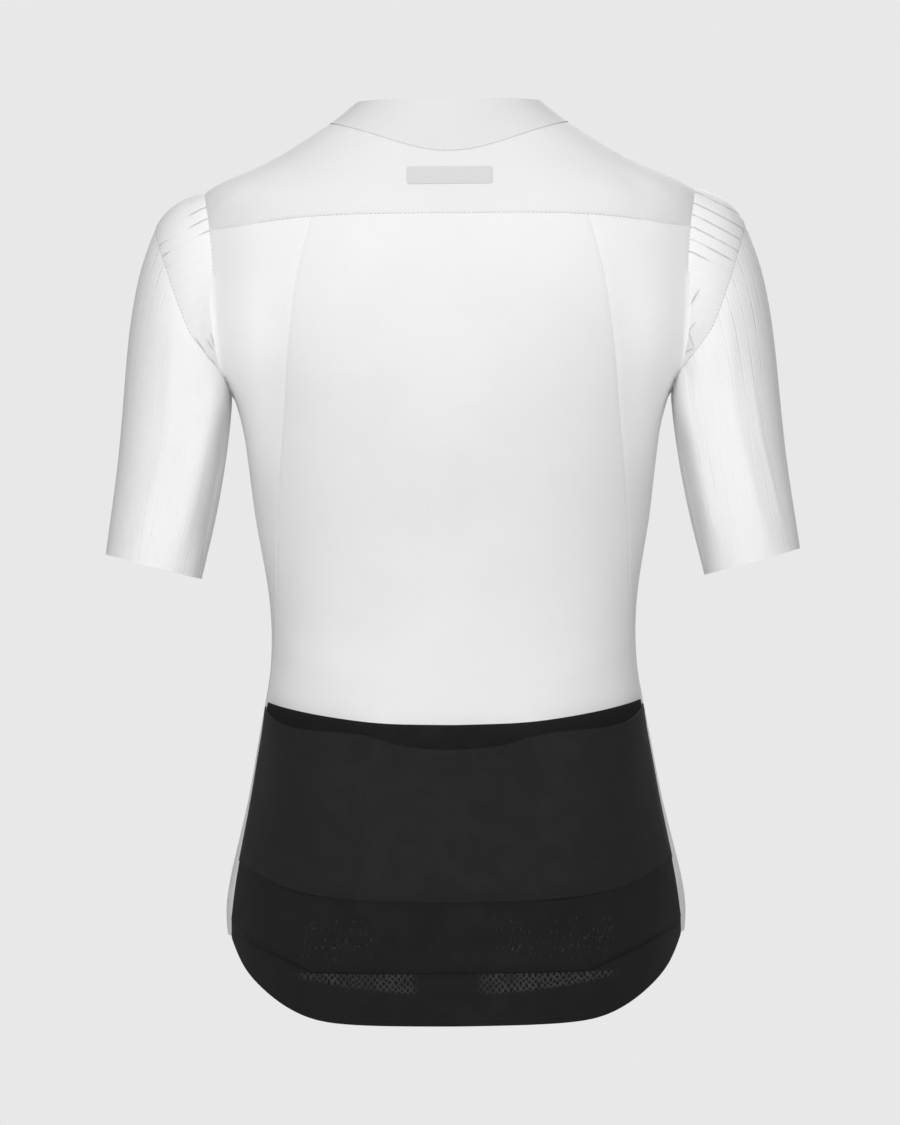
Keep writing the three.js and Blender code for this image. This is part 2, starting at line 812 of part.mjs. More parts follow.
function makeZip() {
  const reach = zip.halfWidth - seamGap / 2;
  const { top } = zipFrame();
  const chainTop = sliderSeat + slider.length + seamGap;
  const chain = (depth) => {
    const rows = openEdge(depth).map(([edge]) => edge);
    const kept = rows.filter((edge) => edge.distanceTo(top) > chainTop + 2);
    const [upper, last] = [rows[kept.length], kept[kept.length - 1]];
    const share = (last.distanceTo(top) - chainTop) / last.distanceTo(upper);
    const end = last.clone().lerp(upper, share);
    return [...kept, end].map((edge) => [-1, 0, 1].map((side) => acrossTo(edge, side * reach)));
  };
  add("zip_chain", wallGeometry(chain(-0.2), chain(clothThickness)), zipWhite);
  const under = clothThickness + layerGap;
  const tape = (depth) =>
    openEdge(depth).map(([edge, next]) => {
      const outer = edge.clone().lerp(next, zip.tapeWidth / edge.distanceTo(next));
      return [acrossTo(edge, seamGap / 2), edge, outer];
    });
  addPair("zip_tape", wallGeometry(tape(under), tape(under + zip.tapeThickness)), zipWhite);
}

// A closed solid for joining, from a three.js geometry.
function solid(geometry) {
  const bare = geometry.index ? geometry.toNonIndexed() : geometry;
  const position = bare.getAttribute("position");
  const keys = new Map();
  const vertices = [];
  const faces = [];
  for (let i = 0; i < position.count; i += 1) {
    const point = [position.getX(i), position.getY(i), position.getZ(i)];
    const key = point.map((value) => value.toFixed(4)).join();
    if (!keys.has(key)) {
      keys.set(key, keys.size);
      vertices.push(...point);
    }
    faces.push(keys.get(key));
  }
  const mesh = new wasm.Mesh({
    numProp: 3,
    vertProperties: new Float32Array(vertices),
    triVerts: new Uint32Array(faces),
  });
  return new wasm.Manifold(mesh);
}

function fromSolid(made) {
  const mesh = made.getMesh();
  const geometry = new THREE.BufferGeometry();
  geometry.setAttribute("position", new THREE.BufferAttribute(mesh.vertProperties, 3));
  geometry.setIndex(new THREE.BufferAttribute(mesh.triVerts, 1));
  return geometry;
}

// A plate with rounded corners, drawn in X and Z with its middle at the origin, and as thick as depth along Y.
function plate(width, height, depth, radius, hole) {
  const shape = new THREE.Shape();
  const [w, h] = [width / 2, height / 2];
  shape.moveTo(-w + radius, -h);
  shape.lineTo(w - radius, -h);
  shape.absarc(w - radius, -h + radius, radius, -Math.PI / 2, 0);
  shape.lineTo(w, h - radius);
  shape.absarc(w - radius, h - radius, radius, 0, Math.PI / 2);
  shape.lineTo(-w + radius, h);
  shape.absarc(-w + radius, h - radius, radius, Math.PI / 2, Math.PI);
  shape.lineTo(-w, -h + radius);
  shape.absarc(-w + radius, -h + radius, radius, Math.PI, 1.5 * Math.PI);
  if (hole) shape.holes.push(hole);
  const options = { depth, bevelEnabled: false, curveSegments: 4 };
  return new THREE.ExtrudeGeometry(shape, options).rotateX(Math.PI / 2).translate(0, depth / 2, 0);
}

// The arch that holds the pull, seen from the side and as wide as its bar.
const arch = { width: 2.2, bar: 1.1, gap: 3.1, length: 6.4 };

function archGeometry() {
  const { bar, gap, length } = arch;
  const shape = new THREE.Shape();
  shape.moveTo(-length / 2, 0);
  shape.lineTo(length / 2, 0);
  shape.lineTo(length / 2, gap);
  shape.lineTo(length / 2 - bar, gap + bar);
  shape.lineTo(-length / 2 + bar, gap + bar);
  shape.lineTo(-length / 2, gap);
  const hole = new THREE.Path();
  hole.moveTo(-length / 2 + bar, bar / 2);
  hole.lineTo(-length / 2 + bar, gap);
  hole.lineTo(length / 2 - bar, gap);
  hole.lineTo(length / 2 - bar, bar / 2);
  shape.holes.push(hole);
  const options = { depth: arch.width, bevelEnabled: false };
  const made = new THREE.ExtrudeGeometry(shape, options).translate(0, 0, -arch.width / 2);
  return made.rotateY(Math.PI / 2).rotateX(Math.PI);
}

// The pull's top bar lies inside the arch, whose lower leg runs through the pull's eye.
function makePull() {
  const reach = arch.width / 2 + pull.clearance;
  const eyeTop = pull.length / 2 - pull.bar;
  const hole = new THREE.Path();
  hole.moveTo(-reach, eyeTop - pull.eye);
  hole.lineTo(-reach, eyeTop);
  hole.lineTo(reach, eyeTop);
  hole.lineTo(reach, eyeTop - pull.eye);
  const made = plate(pull.width, pull.length, pull.thickness, 1.2, hole);
  return made.translate(0, 0, (pull.bar - pull.length) / 2);
}

function makeSlider() {
  const { top, down, out } = zipFrame();
  const centre = top.clone().addScaledVector(down, sliderSeat + slider.length / 2);
  const lean = Math.atan2(-out.z, -out.y);
  const wingFoot = -slider.lift;
  const wingFace = wingFoot - slider.wing;
  const blockDepth = clothThickness + slider.lift;
  const block = plate(slider.block, slider.length, blockDepth + 0.4, 1.2);
  const wing = plate(slider.width, slider.length - 1, slider.wing, 2.2);
  block.translate(0, clothThickness - (blockDepth + 0.4) / 2, 0);
  wing.translate(0, (wingFoot + wingFace) / 2, 0);
  const archFoot = wingFace + arch.bar / 2 - 0.05;
  const bridge = archGeometry().translate(0, archFoot, 0);
  const made = solid(block).add(solid(wing)).add(solid(bridge));
  const seat = (geometry) => geometry.rotateX(lean).translate(...centre.toArray());
  add("zip_slider", seat(fromSolid(made)), zipMetal);
  const pivotOut = archFoot - (arch.bar / 2 + arch.gap) / 2;
  const pivotDown = -arch.length / 2 + arch.bar + 1.2;
  add("zip_pull", seat(makePull().translate(0, pivotOut, pivotDown)), zipMetal);
}

makeYoke();
makeBackCentre();
makeSides();
makeFronts();
makeCollar();
makeLowerBack();
makeTailBand();
makePockets();
makeLabel();
makeSleeves();
makeInserts();
makeZip();
makeSlider();

export default jersey;
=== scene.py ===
import math
import bmesh
import bpy
from mathutils import Matrix, Vector
from mathutils.bvhtree import BVHTree
from mathutils.kdtree import KDTree


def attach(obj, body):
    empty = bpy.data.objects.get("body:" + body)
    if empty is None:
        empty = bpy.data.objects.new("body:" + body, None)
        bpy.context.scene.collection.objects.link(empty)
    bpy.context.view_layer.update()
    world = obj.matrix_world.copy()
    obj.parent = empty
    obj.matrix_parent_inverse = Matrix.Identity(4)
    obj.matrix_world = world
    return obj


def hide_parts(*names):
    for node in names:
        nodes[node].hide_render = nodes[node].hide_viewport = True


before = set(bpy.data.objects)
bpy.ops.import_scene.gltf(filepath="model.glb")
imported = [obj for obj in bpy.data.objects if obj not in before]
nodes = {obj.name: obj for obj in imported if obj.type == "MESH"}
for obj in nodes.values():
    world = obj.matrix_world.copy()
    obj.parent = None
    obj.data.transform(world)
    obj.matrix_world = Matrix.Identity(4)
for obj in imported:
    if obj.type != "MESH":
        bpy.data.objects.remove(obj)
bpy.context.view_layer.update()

# A short-sleeved cycling jersey seen from behind: thin cloth on the frame's panels, stitched seams and a front zip.
# Metres, the wearer faces -Y.

# the camera, and the scale that turns pixels of the photograph into metres on the back
photo = {
    "width": 900, "height": 1125, "metresPerPixel": 0.00074, "middle": (0.0022, -0.3294), "distance": 5.0,
    "roll": math.radians(0.5), "sensor": 36, "farthest": 60,
    "zero": (453, 562), "level": -0.329, "step": 0.00073,
}

backdrop = {
    "brightness": 0.807, "fill": 0.21, "floorZ": -1.45, "floorSize": 6.0, "floorShade": 0.9, "floorRough": 0.9,
}
softLights = {
    "key": {"place": (0.18, 3.1, 1.25), "aim": (0, 0, -0.22), "size": (1.8, 1.4), "power": 91},
    "front": {"place": (-0.4, -3.0, 0.8), "aim": (0, 0, -0.22), "size": (1.6, 1.6), "power": 70},
    "above": {"place": (0.0, 0.3, 2.3), "aim": (0, 0, -0.1), "size": (1.8, 1.8), "power": 16},
}


def deselect():
    for obj in bpy.context.selected_objects:
        obj.select_set(False)


def activate(obj):
    deselect()
    obj.select_set(True)
    bpy.context.view_layer.objects.active = obj


def editAll(obj):
    activate(obj)
    bpy.ops.object.mode_set(mode="EDIT")
    bpy.ops.mesh.select_all(action="SELECT")


def smoothBy(obj, degrees):
    activate(obj)
    bpy.ops.object.shade_smooth_by_angle(angle=math.radians(degrees))


def addShape(name, add, **values):
    deselect()
    add(**values)
    bpy.context.active_object.name = name
    return bpy.context.active_object


def addObject(name, data):
    obj = bpy.data.objects.new(name, data)
    bpy.context.scene.collection.objects.link(obj)
    return obj


def applyModifier(obj, kind, **values):
    activate(obj)
    modifier = obj.modifiers.new(kind.lower(), kind)
    for key, value in values.items():
        setattr(modifier, key, value)
    bpy.ops.object.modifier_apply(modifier=modifier.name)


def makeCamera():
    data = bpy.data.cameras.new("camera")
    camera = addObject("camera", data)
    x, z = photo["middle"]
    camera.location = (x, photo["distance"], z)
    facing = Vector((0, -1, 0)).to_track_quat("-Z", "Y").to_matrix().to_4x4()
    camera.matrix_world = Matrix.Translation(camera.location) @ facing @ Matrix.Rotation(-photo["roll"], 4, "Z")
    data.sensor_width = photo["sensor"]
    data.lens = photo["sensor"] * photo["distance"] / (photo["height"] * photo["metresPerPixel"])
    data.clip_end = photo["farthest"]
    bpy.context.scene.camera = camera
    print("camera: lens", round(data.lens, 1), "mm")


def areaLight(name, place, aim, size, power):
    data = bpy.data.lights.new(name, "AREA")
    data.shape = "RECTANGLE"
    data.size, data.size_y = size
    data.energy = power
    light = addObject(name, data)
    light.location = place
    light.rotation_euler = (Vector(aim) - Vector(place)).to_track_quat("-Z", "Y").to_euler()


def makeStudio():
    world = bpy.data.worlds.new("studio")
    bpy.context.scene.world = world
    world.use_nodes = True
    tree = world.node_tree
    tree.nodes.clear()
    mixShader = tree.nodes.new("ShaderNodeMixShader")
    tree.links.new(mixShader.outputs[0], tree.nodes.new("ShaderNodeOutputWorld").inputs["Surface"])
    tree.links.new(tree.nodes.new("ShaderNodeLightPath").outputs["Is Camera Ray"], mixShader.inputs[0])
    for i, strength in enumerate((backdrop["fill"], backdrop["brightness"]), 1):
        shader = tree.nodes.new("ShaderNodeBackground")
        shader.inputs["Color"].default_value = grey(1)
        shader.inputs["Strength"].default_value = strength
        tree.links.new(shader.outputs[0], mixShader.inputs[i])
    bpy.context.scene.view_settings.view_transform = "Standard"
    for name, spec in softLights.items():
        areaLight(name, **spec)
    floor = addShape("floor", bpy.ops.mesh.primitive_plane_add, size=backdrop["floorSize"])
    floor.data.transform(Matrix.Translation((0, 0, backdrop["floorZ"])))
    floorLook = {"Base Color": grey(backdrop["floorShade"]), "Roughness": backdrop["floorRough"]}
    floor.data.materials.append(Nodes("pale_floor").shade(floorLook))
    print("studio:", len(softLights), "soft lights and a pale floor")


class Nodes:
    def __init__(self, name):
        self.material = bpy.data.materials.new(name)
        self.material.use_nodes = True
        self.tree = self.material.node_tree
        self.shader = self.tree.nodes["Principled BSDF"]

    def add(self, kind, **values):
        node = self.tree.nodes.new(kind)
        for key, value in values.items():
            setattr(node, key, value)
        return node

    def feed(self, socket, value):
        if isinstance(value, bpy.types.NodeSocket):
            self.tree.links.new(value, socket)
        else:
            socket.default_value = value

    def fill(self, node, values):
        for key, value in values.items():
            self.feed(node.inputs[key], value)

    def shade(self, values):
        self.fill(self.shader, values)
        return self.material

    def math(self, operation, a, b=0.0, c=0.0):
        node = self.add("ShaderNodeMath", operation=operation)
        for socket, value in zip(node.inputs, (a, b, c)):
            self.feed(socket, value)
        return node.outputs[0]

    def times(self, first, *others):
        for other in others:
            first = self.math("MULTIPLY", first, other)
        return first

    def minus(self, a, b):
        return self.math("SUBTRACT", a, b)

    def most(self, first, *others):
        for other in others:
            first = self.math("MAXIMUM", first, other)
        return first

    def coordinate(self, kind):
        return self.add("ShaderNodeTexCoord").outputs[kind]

    def split(self, vector):
        node = self.add("ShaderNodeSeparateXYZ")
        self.feed(node.inputs[0], vector)
        return node.outputs

    def noise(self, vector, scale, detail=3.0, roughness=0.5):
        node = self.add("ShaderNodeTexNoise")
        self.fill(node, {"Vector": vector, "Scale": scale, "Detail": detail, "Roughness": roughness})
        return node.outputs["Fac"]

    def remap(self, value, low, high, toLow, toHigh, smooth=True):
        node = self.add("ShaderNodeMapRange")
        node.interpolation_type = "SMOOTHSTEP" if smooth else "LINEAR"
        for socket, item in zip(node.inputs, (value, low, high, toLow, toHigh)):
            self.feed(socket, item)
        return node.outputs[0]

    def patchy(self, vector, kind):
        scale, detail, low, high, toLow, toHigh = patches[kind]
        return self.remap(self.noise(vector, scale, detail), low, high, toLow, toHigh)

    def blend(self, share, first, second):
        node = self.add("ShaderNodeMix", data_type="RGBA")
        self.fill(node, {0: share, 6: first, 7: second})
        return node.outputs[2]

    def bump(self, height, distance, strength=1.0, after=None):
        node = self.add("ShaderNodeBump")
        self.fill(node, {"Height": height, "Distance": distance, "Strength": strength})
        if after is not None:
            self.feed(node.inputs["Normal"], after)
        return node.outputs[0]

    def waveOf(self, value, period, sharp=1.0):
        turned = self.times(value, 2 * math.pi / period)
        wave = self.math("MULTIPLY_ADD", self.math("COSINE", turned), 0.5, 0.5)
        return wave if sharp == 1.0 else self.math("POWER", wave, sharp)


def grey(level):
    return (level, level, level, 1)


# uneven places: noise scale and detail, the span that is stretched, and what it is stretched to
patches = {
    "clouds": (14.0, 3.0, 0.35, 0.65, 0, 1),
    "sleeveLines": (11.0, 1.0, 0.35, 0.65, 0.25, 1.0),
    "sleeveBreaks": (70.0, 2.0, 0.38, 0.54, 0.35, 1.0),
    "stripeBreaks": (90.0, 2.0, 0.36, 0.52, 0.55, 1.0),
    "netBreaks": (70.0, 2.0, 0.36, 0.6, 0.45, 1),
    "pierced": (190.0, 3.0, 0.5, 0.58, 0, 1),
}

whiteKnit = {"rough": 0.78, "sheen": 0.08, "wale": 0.0011, "course": 0.0009, "depth": 0.00006}
ribKnit = {"sheen": 0.1, "wale": 0.0009, "course": 0.0007, "depth": 0.00005}
blackKnit = {"sheen": 0.03, "wale": 0.001, "course": 0.0008, "depth": 0.00008}
knitLooks = {
    "white": {"color": 0.855, "shade": 0.835, **whiteKnit},
    "side": {"color": 0.855, "shade": 0.835, **whiteKnit},
    "back": {"color": 0.825, "shade": 0.805, **whiteKnit},
    # the yoke's darker tone is painted shade, kept to its back half
    "yoke": {"color": 0.785, "shade": 0.77, **whiteKnit},
    "collar": {"color": 0.735, "shade": 0.72, **whiteKnit},
    "ribbed": {
        "color": 0.91, "shade": 0.88, "rough": 0.68, "innerShade": 0.68, **ribKnit,
        "ribShare": 0.09, "ribDepth": 0.0003, "ribShade": 0.82, "fineRibs": 6, "fineDepth": 0.0001,
    },
    "striped": {
        "color": 0.82, "shade": 0.79, "rough": 0.7, **ribKnit,
        "ribShare": 0.1, "ribDepth": 0.0005, "ribShade": 0.52, "fineRibs": 4, "fineDepth": 0.00008,
    },
    "black": {"color": 0.0138, "shade": 0.0128, "rough": 0.86, "soft": 0.2, **blackKnit},
    "dark": {"color": 0.0098, "shade": 0.0086, "rough": 0.9, **blackKnit},
    "tape": {
        "color": 0.8, "shade": 0.74, "rough": 0.8, "sheen": 0.1, "wale": 0.0006, "course": 0.0006, "depth": 0.00012,
    },
}
# what every knit shares: its loops, slow waves in the cloth, and the spread of its roughness
grain = {
    "lean": 0.35, "rowShift": 0.3, "rowShare": 0.6, "strength": 0.8, "hollow": 0.22, "hollowShade": 0.7,
    "softScale": 16.0, "softDepth": 0.0007, "soft": 0.35,
    "roughScale": 60.0, "roughSpan": (0.3, 0.7), "roughSpread": 0.05, "sheenRough": 0.5, "specular": 0.2,
}


def knitHeight(made, u, v, wale, course):
    # columns of small loops: each wale leans one way and back along its course
    lean = made.times(made.waveOf(v, course), grain["lean"])
    columns = made.waveOf(made.math("MULTIPLY_ADD", lean, wale, u), wale)
    rows = made.waveOf(made.math("ADD", v, made.times(columns, course * grain["rowShift"])), course)
    return made.times(columns, made.math("MULTIPLY_ADD", rows, grain["rowShare"], 1 - grain["rowShare"]))


def fromPhoto(px, py):
    zeroX, zeroY = photo["zero"]
    return Vector(((zeroX - px) * photo["step"], photo["level"] - (py - zeroY) * photo["step"]))


def inSpan(made, value, low, high, soft):
    return made.times(made.remap(value, low, low + soft, 0, 1), made.remap(value, high - soft, high, 1, 0))


def zoneMask(made, x, z, zones, soft):
    return made.most(*[
        made.times(inSpan(made, x, left, right, soft), inSpan(made, z, low, high, soft))
        for left, right, low, high in zones
    ])


def nearLine(made, x, z, first, last, width):
    # 1 on the line between two places of the photograph, falling to 0 beside it and at its ends
    a, b = fromPhoto(*first), fromPhoto(*last)
    along = (b - a) / (b - a).length_squared
    share = made.math("ADD", made.times(x, along.x), made.math("MULTIPLY_ADD", z, along.y, -a.dot(along)))
    share = made.remap(share, 0.0, 1.0, 0.0, 1.0, False)
    offX = made.minus(x, made.math("MULTIPLY_ADD", share, (b - a).x, a.x))
    offZ = made.minus(z, made.math("MULTIPLY_ADD", share, (b - a).y, a.y))
    away = made.math("SQRT", made.math("ADD", made.times(offX, offX), made.times(offZ, offZ)))
    fromMiddle = made.math("ABSOLUTE", made.math("MULTIPLY_ADD", share, 2.0, -1.0))
    taper = made.minus(1.0, made.math("POWER", fromMiddle, 3.0))
    return made.times(made.remap(away, 0.0, width, 1, 0), taper)


def ribsAlong(made):
    return made.split(made.add("ShaderNodeUVMap", uv_map="ribs").outputs[0])[0]


def drawRibs(made, look, along, shown, color, normal):
    # one line to each rib, a real bump groove painted darker as shade, and finer ribs between the lines
    line = made.remap(made.math("PINGPONG", along, 0.5), 0.0, look["ribShare"], 0, 1)
    gap = made.times(made.minus(1.0, line), shown)
    normal = made.bump(gap, -look["ribDepth"], 1.0, normal)
    normal = made.bump(made.waveOf(along, 1.0 / look["fineRibs"]), look["fineDepth"], grain["strength"], normal)
    return made.blend(gap, color, grey(look["ribShade"])), normal


def drawSleeve(made, look, place, color, normal):
    # the lines are plainer in some places than in others, and the inside of the arm is painted darker as shade from
    # the body
    along = ribsAlong(made)
    shown = made.times(made.patchy(place, "sleeveLines"), made.patchy(place, "sleeveBreaks"))
    outside = made.remap(made.waveOf(along, ribs["sleeveCount"]), *ribs["inside"], 0, 1)
    color = made.blend(outside, grey(look["innerShade"]), color)
    return drawRibs(made, look, along, shown, color, normal)


# where the inserts' painted groove shade shows: whole on one shoulder, by short ends on the other
stripeShade = {
    "soft": 0.005, "faint": 0.07,
    "zones": [(-0.26, -0.1, -0.1125, -0.05), (0.2035, 0.26, -0.1135, -0.088), (0.15, 0.1945, -0.0905, -0.06)],
}
# fine creases at the inserts' lower tips, on the back half alone, by places in the photograph: a real bump with
# painted shade along it
creases = {
    "width": 0.001, "depth": 0.0005, "shade": 0.6, "behind": (0.0, 0.01),
    "lines": [
        ((682, 344), (699, 323)), ((687, 322), (697, 352)), ((703, 290), (688, 316)), ((686, 355), (697, 350)),
        ((208, 336), (215, 349)), ((212, 330), (216, 346)), ((203, 350), (217, 362)), ((196, 334), (208, 352)),
    ],
}


def drawInsert(made, look, place, color, normal):
    x, y, z = made.split(place)
    creaseAndShade = made.most(*[nearLine(made, x, z, first, last, creases["width"]) for first, last in creases["lines"]])
    creaseAndShade = made.times(creaseAndShade, made.remap(y, *creases["behind"], 0, 1))
    normal = made.bump(creaseAndShade, -creases["depth"], 1.0, normal)
    # painted shade along the creases
    color = made.blend(creaseAndShade, color, grey(creases["shade"]))
    shown = zoneMask(made, x, z, stripeShade["zones"], stripeShade["soft"])
    shown = made.most(made.times(shown, made.patchy(place, "stripeBreaks")), stripeShade["faint"])
    return drawRibs(made, look, ribsAlong(made), shown, color, normal)


# painted light: the side panels are painted paler towards the armholes, from behind, where more light falls from
# above
paintedSideLight = {
    "across": (0.112, 0.146), "up": (-0.3, -0.21), "top": (-0.18, -0.095), "topShare": 0.15,
    "behind": (-0.01, 0.04), "color": 0.95,
}


def paintSideLight(made, look, place, color, normal):
    x, y, z = made.split(place)
    outer = made.remap(made.math("ABSOLUTE", x), *paintedSideLight["across"], 0, 1)
    upper = made.times(made.remap(z, *paintedSideLight["up"], 0, 1), made.remap(y, *paintedSideLight["behind"], 0, 1))
    upper = made.times(upper, made.remap(z, *paintedSideLight["top"], 1, paintedSideLight["topShare"]))
    return made.blend(made.times(outer, upper), color, grey(paintedSideLight["color"])), normal


# the yoke's back half is painted darker as shade; over the shoulders it takes the tone of the fronts
frontTone = {"behind": (-0.02, 0.03), "color": 0.845}


def paintYokeShade(made, look, place, color, normal):
    y = made.split(place)[1]
    return made.blend(made.remap(y, *frontTone["behind"], 1, 0), color, grey(frontTone["color"])), normal


# painted shadow: a dark line along the seam above the tail with softer painted shade beside it, level in the middle
# and rising to both sides
tailShadow = {
    "level": -0.6257, "middle": 0.0044, "flat": 0.1, "rise": 0.43, "width": 0.0014,
    "softWidth": 0.006, "softShare": 0.25, "color": 0.0018, "behind": (0.0, 0.02),
}
# the small pierced marks, each with a painted highlight beside its hole, and the diamond net of the dark band, by
# metres across and up
marks = {
    "zones": [(0.052, 0.12, -0.62, -0.58), (-0.12, -0.022, -0.62, -0.58)], "soft": 0.012,
    "pitch": 0.0042, "rowPitch": 1.5, "wobble": 3.0, "wobbleScale": 130.0, "rowSharp": 2.0, "holeSharp": 4.0,
    "glintSharp": 8.0, "glintShift": 0.3, "color": 0.034, "hole": 0.004, "depth": 0.0003, "strength": 0.8,
}
netting = {
    "spans": [(0.026, 0.119), (-0.119, -0.013)], "soft": 0.01, "top": -0.6262, "edge": 0.0004,
    "foot": -0.6425, "taper": 0.0125, "reach": 0.12, "fade": 0.003,
    "pitch": 0.0044, "slant": 0.8, "pull": 1.6, "pullScale": 160.0, "holes": (0.1, 0.38),
    "color": 0.035, "hole": 0.005, "depth": 0.0004, "strength": 0.9,
}


def paintTailShadow(made, place, color):
    x, y, z = made.split(place)
    aside = made.math("ABSOLUTE", made.minus(x, tailShadow["middle"]))
    beyond = made.most(made.minus(aside, tailShadow["flat"]), 0.0)
    level = made.math("MULTIPLY_ADD", beyond, tailShadow["rise"], tailShadow["level"])
    away = made.math("ABSOLUTE", made.minus(z, level))
    softShade = made.remap(away, 0.0, tailShadow["softWidth"], tailShadow["softShare"], 0)
    line = made.most(made.remap(away, 0.0, tailShadow["width"], 1, 0), softShade)
    # the back half alone, because the band's sides are plain
    line = made.times(line, made.remap(y, *tailShadow["behind"], 0, 1))
    return made.blend(line, color, grey(tailShadow["color"]))


def drawNet(made, place, color, normal):
    x, y, z = made.split(place)
    pitch = netting["pitch"]
    uneven = made.minus(made.noise(place, netting["pullScale"], 2.0), 0.5)
    pulled = made.times(uneven, pitch * netting["pull"])
    slant = made.math("MULTIPLY_ADD", z, netting["slant"], pulled)
    along, across = made.math("ADD", x, slant), made.minus(x, slant)
    net = made.remap(made.times(made.waveOf(along, pitch), made.waveOf(across, pitch)), *netting["holes"], 1, 0)
    outward = made.math("POWER", made.math("DIVIDE", made.math("ABSOLUTE", x), netting["reach"]), 2.0)
    foot = made.math("MULTIPLY_ADD", outward, netting["taper"], netting["foot"])
    above = made.remap(made.minus(z, foot), 0.0, netting["fade"], 0, 1)
    below = made.remap(made.minus(netting["top"], z), -netting["edge"], netting["edge"], 0, 1)
    within = zoneMask(made, x, z, [(left, right, -1.0, 1.0) for left, right in netting["spans"]], netting["soft"])
    shown = made.times(above, below, within, made.patchy(place, "netBreaks"))
    color = made.blend(shown, color, made.blend(net, grey(netting["hole"]), grey(netting["color"])))
    return color, made.bump(made.times(net, shown), netting["depth"], netting["strength"], normal)


def drawPiercing(made, place, color, normal):
    x, y, z = made.split(place)
    pitch, rowPitch = marks["pitch"], marks["pitch"] * marks["rowPitch"]
    wobble = made.minus(made.noise(place, marks["wobbleScale"], 1.0), 0.5)
    wobble = made.times(wobble, pitch * marks["wobble"])
    z = made.math("ADD", z, wobble)
    oddRow = made.math("PINGPONG", made.math("FLOOR", made.math("DIVIDE", z, rowPitch)), 1.0)
    shifted = made.math("MULTIPLY_ADD", oddRow, pitch / 2, made.minus(x, wobble))
    besideIt = made.math("ADD", shifted, pitch * marks["glintShift"])
    rows = made.waveOf(made.minus(z, rowPitch / 2), rowPitch, marks["rowSharp"])
    hole = made.times(made.waveOf(shifted, pitch, marks["holeSharp"]), rows)
    glint = made.times(made.waveOf(besideIt, pitch, marks["glintSharp"]), rows)
    pierced = zoneMask(made, x, z, marks["zones"], marks["soft"])
    shown = made.times(made.patchy(place, "pierced"), pierced)
    color = made.blend(made.times(hole, shown), color, grey(marks["hole"]))
    # a painted highlight along one side of each hole
    color = made.blend(made.times(glint, shown), color, grey(marks["color"]))
    return color, made.bump(made.times(hole, pierced), -marks["depth"], marks["strength"], normal)


def drawBand(made, look, place, color, normal):
    color = paintTailShadow(made, place, color)
    color, normal = drawNet(made, place, color, normal)
    return drawPiercing(made, place, color, normal)


drawings = {"ribbed": drawSleeve, "striped": drawInsert, "side": paintSideLight, "yoke": paintYokeShade, "dark": drawBand}


def clothMaterial(kind):
    look = knitLooks[kind]
    made = Nodes(kind + "_cloth")
    uv = made.split(made.coordinate("UV"))
    place = made.coordinate("Object")
    color = made.blend(made.patchy(place, "clouds"), grey(look["shade"]), grey(look["color"]))
    height = knitHeight(made, uv[0], uv[1], look["wale"], look["course"])
    normal = made.bump(made.noise(place, grain["softScale"]), grain["softDepth"], look.get("soft", grain["soft"]))
    normal = made.bump(height, look["depth"], grain["strength"], normal)
    # the knit's loops catch less light in their hollows
    hollow = made.math("MULTIPLY_ADD", height, -grain["hollow"], grain["hollow"])
    color = made.blend(hollow, color, grey(look["shade"] * grain["hollowShade"]))
    if kind in drawings:
        color, normal = drawings[kind](made, look, place, color, normal)
    spread = (look["rough"] - grain["roughSpread"], look["rough"] + grain["roughSpread"])
    rough = made.remap(made.noise(place, grain["roughScale"]), *grain["roughSpan"], *spread)
    return made.shade({
        "Base Color": color, "Roughness": rough, "Normal": normal, "Specular IOR Level": grain["specular"],
        "Sheen Weight": look["sheen"], "Sheen Roughness": grain["sheenRough"],
    })


speckle = {"scale": 900.0, "dark": 0.94, "roughScale": 240.0, "roughSpread": 0.06, "depth": 0.00003, "strength": 0.4}


def plainMaterial(name, color, rough, metal=0.0):
    made = Nodes(name)
    place = made.coordinate("Object")
    specks = made.noise(place, speckle["scale"], 2.0)
    spread = (rough - speckle["roughSpread"], rough + speckle["roughSpread"])
    unevenRough = made.remap(made.noise(place, speckle["roughScale"]), *grain["roughSpan"], *spread)
    return made.shade({
        "Base Color": made.blend(specks, grey(color * speckle["dark"]), grey(color)), "Roughness": unevenRough,
        "Metallic": metal, "Normal": made.bump(specks, speckle["depth"], speckle["strength"]),
    })


def copyNode(node, name):
    activate(nodes[node])
    bpy.ops.object.duplicate()
    piece = bpy.context.active_object
    piece.name = name
    piece.data.name = name
    for key in list(piece.keys()):
        del piece[key]
    piece.parent = None
    piece.data.materials.clear()
    bpy.ops.mesh.customdata_custom_splitnormals_clear()
    return piece


def islands(mesh):
    mesh.faces.ensure_lookup_table()
    seen = set()
    for start in mesh.faces:
        if start.index in seen:
            continue
        seen.add(start.index)
        group, queue = [], [start]
        while queue:
            face = queue.pop()
            group.append(face)
            for edge in face.edges:
                for near in edge.link_faces:
                    if near.index not in seen:
                        seen.add(near.index)
                        queue.append(near)
        yield group


# how a node's outer face is taken off, with its angles in degrees
sheetCut = {"weld": 0.00001, "sharp": 62, "faceTurn": 40, "shapeTurn": 60, "rimSmooth": 50}


